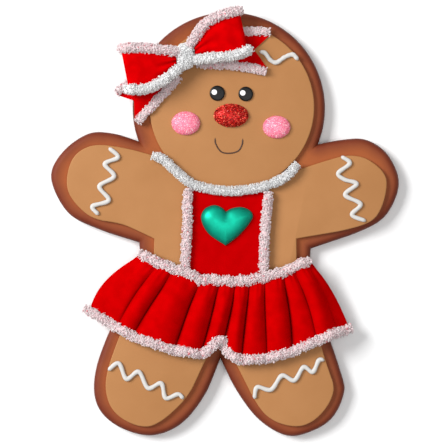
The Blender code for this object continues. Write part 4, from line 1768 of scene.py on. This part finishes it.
@dataclass
class BowTail:
    """A notched ribbon end that lies flat on the head under its loop."""

    side: Side
    upper: Points
    lower: Points
    notch_mm: float
    trim_half_mm: tuple[float, float] = (5.5, 2.8)
    rows: int = 40
    columns: int = 24

    def build(self) -> None:
        """Lays the velvet and its two edges."""
        name = "bow_tail_" + self.side.value
        inward = self.trim_half_mm[0] - 0.8
        inward = -inward if self.side is Side.RIGHT else inward
        edges = {"upper": through(self.upper, 8), "lower": through(self.lower, 8)}
        upper = moved_left(edges["upper"], inward)
        lower = moved_left(edges["lower"], -inward)
        piece = grid_piece(name + "_velvet", self.surface(upper, lower) * MM)
        finish_modifier(piece, "SOLIDIFY", thickness=1.1 * MM, offset=1.0)
        recalculate(piece)
        smooth(piece, 60.0)
        dress(piece, BOW_VELVET, [name])
        for seed, (which, edge) in enumerate(edges.items()):
            line = at_level(edge, PANEL_TOP + self.trim_half_mm[1] + 0.3)
            ChenilleEdge(
                f"{name}_{which}_chenille",
                (f"{name}_{which}_trim",),
                line,
                self.trim_half_mm,
                PINK_PILE,
                "pink_chenille",
                PINK_YARN,
                81 + seed + (10 if self.side is Side.RIGHT else 0),
            ).build()

    def surface(self, upper: np.ndarray, lower: np.ndarray) -> np.ndarray:
        """The ribbon from the knot to its notched end.

        Args:
            upper: The upper edge in plan.
            lower: The lower edge in plan.

        Returns:
            Its points in millimetres.
        """
        across = np.linspace(0, 1, self.columns)
        reach = 1 - self.notch_mm / length_of(upper) * (1 - np.abs(2 * across - 1))
        places = np.empty((self.rows, self.columns, 3))
        for row in range(self.rows):
            share = row / (self.rows - 1)
            for column, (part, cut) in enumerate(zip(across, reach)):
                top = places_at(upper, [share * cut])[0]
                bottom = places_at(lower, [share * cut])[0]
                wave = 0.35 * sin(2.2 * pi * share + 3 * part)
                places[row, column] = (*(top + (bottom - top) * part), PANEL_TOP + 0.8 + wave)
        return places

    def area(self, upper: np.ndarray, lower: np.ndarray) -> float:
        """The ribbon's flat area in square metres, less its notch."""
        width = float(np.linalg.norm(upper - places_at(lower, shares_along(upper)), axis=1).mean())
        end = float(np.linalg.norm(upper[-1] - lower[-1]))
        return (width * (length_of(upper) + length_of(lower)) / 2 - end * self.notch_mm / 2) * MM * MM


@dataclass
class Knot:
    """A short wrap of white chenille that gathers the bow."""

    yarn: Yarn = WHITE_YARN
    seed: int = 71

    def build(self) -> None:
        """Rounds a block and covers it in tufts."""
        low, high = (np.array(corner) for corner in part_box("bow_knot"))
        middle = (low + high) / 2
        half = (high - low) / 2
        piece = start_piece(
            "knot_chenille", bpy.ops.mesh.primitive_uv_sphere_add, segments=32, ring_count=20, radius=1.0
        )
        unit = read_places(piece)
        full = unit / np.linalg.norm(np.abs(unit) ** 1.0, ord=3.2, axis=1)[:, None]
        give_places(piece, middle + full * half * 0.78)
        smooth(piece, 80.0)
        give_values(piece, "tone", np.full(len(piece.data.vertices), 0.3))
        rng = np.random.default_rng(self.seed)
        area = 4 * pi * (half[0] * half[1] + half[1] * half[2] + half[0] * half[2]) / 3
        count = int(area / (self.yarn.gap_mm * MM) ** 2 * 1.1)
        way = rng.normal(0, 1, (count, 3))
        way /= np.linalg.norm(way, axis=1)[:, None]
        shell = way / np.linalg.norm(way, ord=3.2, axis=1)[:, None] * half
        outward = np.sign(way) * np.abs(way) ** 2.2 / half
        outward /= np.linalg.norm(outward, axis=1)[:, None]
        tilt = outward + rng.normal(0, 0.3, (count, 3))
        tilt /= np.linalg.norm(tilt, axis=1)[:, None]
        reach = 2.9 * MM * rng.uniform(0.7, 1.1, count)
        tufts = self.yarn.tufts(middle + shell * 0.74, tilt, reach, rng)
        join_into(piece, [tufts])
        dress(piece, WHITE_PILE, ["bow_knot"])


@dataclass
class Bow:
    """Two loops over two notched tails, held by a knot."""

    knot: Knot = field(default_factory=Knot)
    loops: tuple[BowLoop, ...] = (
        BowLoop(
            Side.LEFT,
            upper=((-63, 215), (-88, 218), (-118, 220), (-133, 219)),
            lower=((-63, 204), (-79, 191), (-92, 183), (-106, 178), (-125, 178)),
        ),
        BowLoop(
            Side.RIGHT,
            upper=((-39, 229), (-24, 250), (-13, 258), (2, 264), (19, 268)),
            lower=((-39, 216), (-13, 219), (9, 221), (28, 228)),
        ),
    )
    tails: tuple[BowTail, ...] = (
        BowTail(
            Side.LEFT,
            upper=((-72, 208), (-98, 200), (-122, 183), (-141, 169)),
            lower=((-60, 189), (-69, 179), (-83, 164), (-98, 148), (-114, 131)),
            notch_mm=13.0,
        ),
        BowTail(
            Side.RIGHT,
            upper=((-34, 226), (0, 242), (26, 248), (58, 248)),
            lower=((-36, 206), (-3, 205), (16, 203), (33, 201), (53, 196)),
            notch_mm=19.0,
        ),
    )

    def build(self) -> None:
        """Builds the knot, the loops and the tails."""
        self.knot.build()
        for part in (*self.loops, *self.tails):
            part.build()


# ------------------------------------------------------------------ studio


@dataclass
class Studio:
    """A pale floor, soft lamps and a long lens that looks straight down."""

    distance: float = 3.0
    seen_width: float = 0.5772
    focus_level: float = 0.026
    centre: tuple[float, float] = (-0.0039, 0.00065)
    key_watts: float = 285.0
    fill_watts: float = 45.0
    sky: float = 0.3

    def build(self) -> None:
        """Sets up the floor, the lamps and the camera."""
        self.lay_floor()
        self.lamp("key", (-3.35, 1.6, 3.35), 2.2, self.key_watts)
        self.lamp("fill", (0.5, -0.3, 3.4), 2.4, self.fill_watts)
        world = bpy.data.worlds.new("studio")
        bpy.context.scene.world = world
        world.use_nodes = True
        world.node_tree.nodes["Background"].inputs["Color"].default_value = (1.0, 1.0, 1.0, 1.0)
        world.node_tree.nodes["Background"].inputs["Strength"].default_value = self.sky
        bpy.context.scene.view_settings.view_transform = "Standard"
        lens = bpy.data.cameras.new("lens")
        lens.sensor_width = 36.0
        lens.lens = 36.0 * self.distance / self.seen_width
        camera = bpy.data.objects.new("camera", lens)
        camera.location = (*self.centre, self.distance + self.focus_level)
        bpy.context.scene.collection.objects.link(camera)
        bpy.context.scene.camera = camera

    def lay_floor(self) -> None:
        """Lays a wide sheet of pale paper just under the figure."""
        floor = start_piece("floor", bpy.ops.mesh.primitive_plane_add, size=8.0, location=(0, 0, -0.0005))
        settle(floor)
        floor.data.materials.append(FLOOR_PAPER.material())

    def lamp(self, name: str, place: tuple[float, float, float], size: float, watts: float) -> None:
        """Hangs a square soft lamp that faces the figure.

        Args:
            name: The lamp's name.
            place: Where it hangs.
            size: The length of its side in metres.
            watts: Its power.
        """
        light = bpy.data.lights.new(name, "AREA")
        light.shape = "SQUARE"
        light.size = size
        light.energy = watts
        lamp = bpy.data.objects.new(name, light)
        lamp.location = place
        lamp.rotation_euler = (Vector((0, 0, 0)) - Vector(place)).to_track_quat("-Z", "Y").to_euler()
        bpy.context.scene.collection.objects.link(lamp)


def main() -> None:
    """Builds the whole decoration and its studio."""
    logging.basicConfig(level=logging.INFO, format="%(message)s")
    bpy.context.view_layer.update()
    for part in (Figure(), Face(), Icing(), Collar(), Bib(), Heart(), Skirt(), Bow(), Studio()):
        LOG.info("building %s", type(part).__name__)
        part.build()


if __name__ == "__main__":
    main()
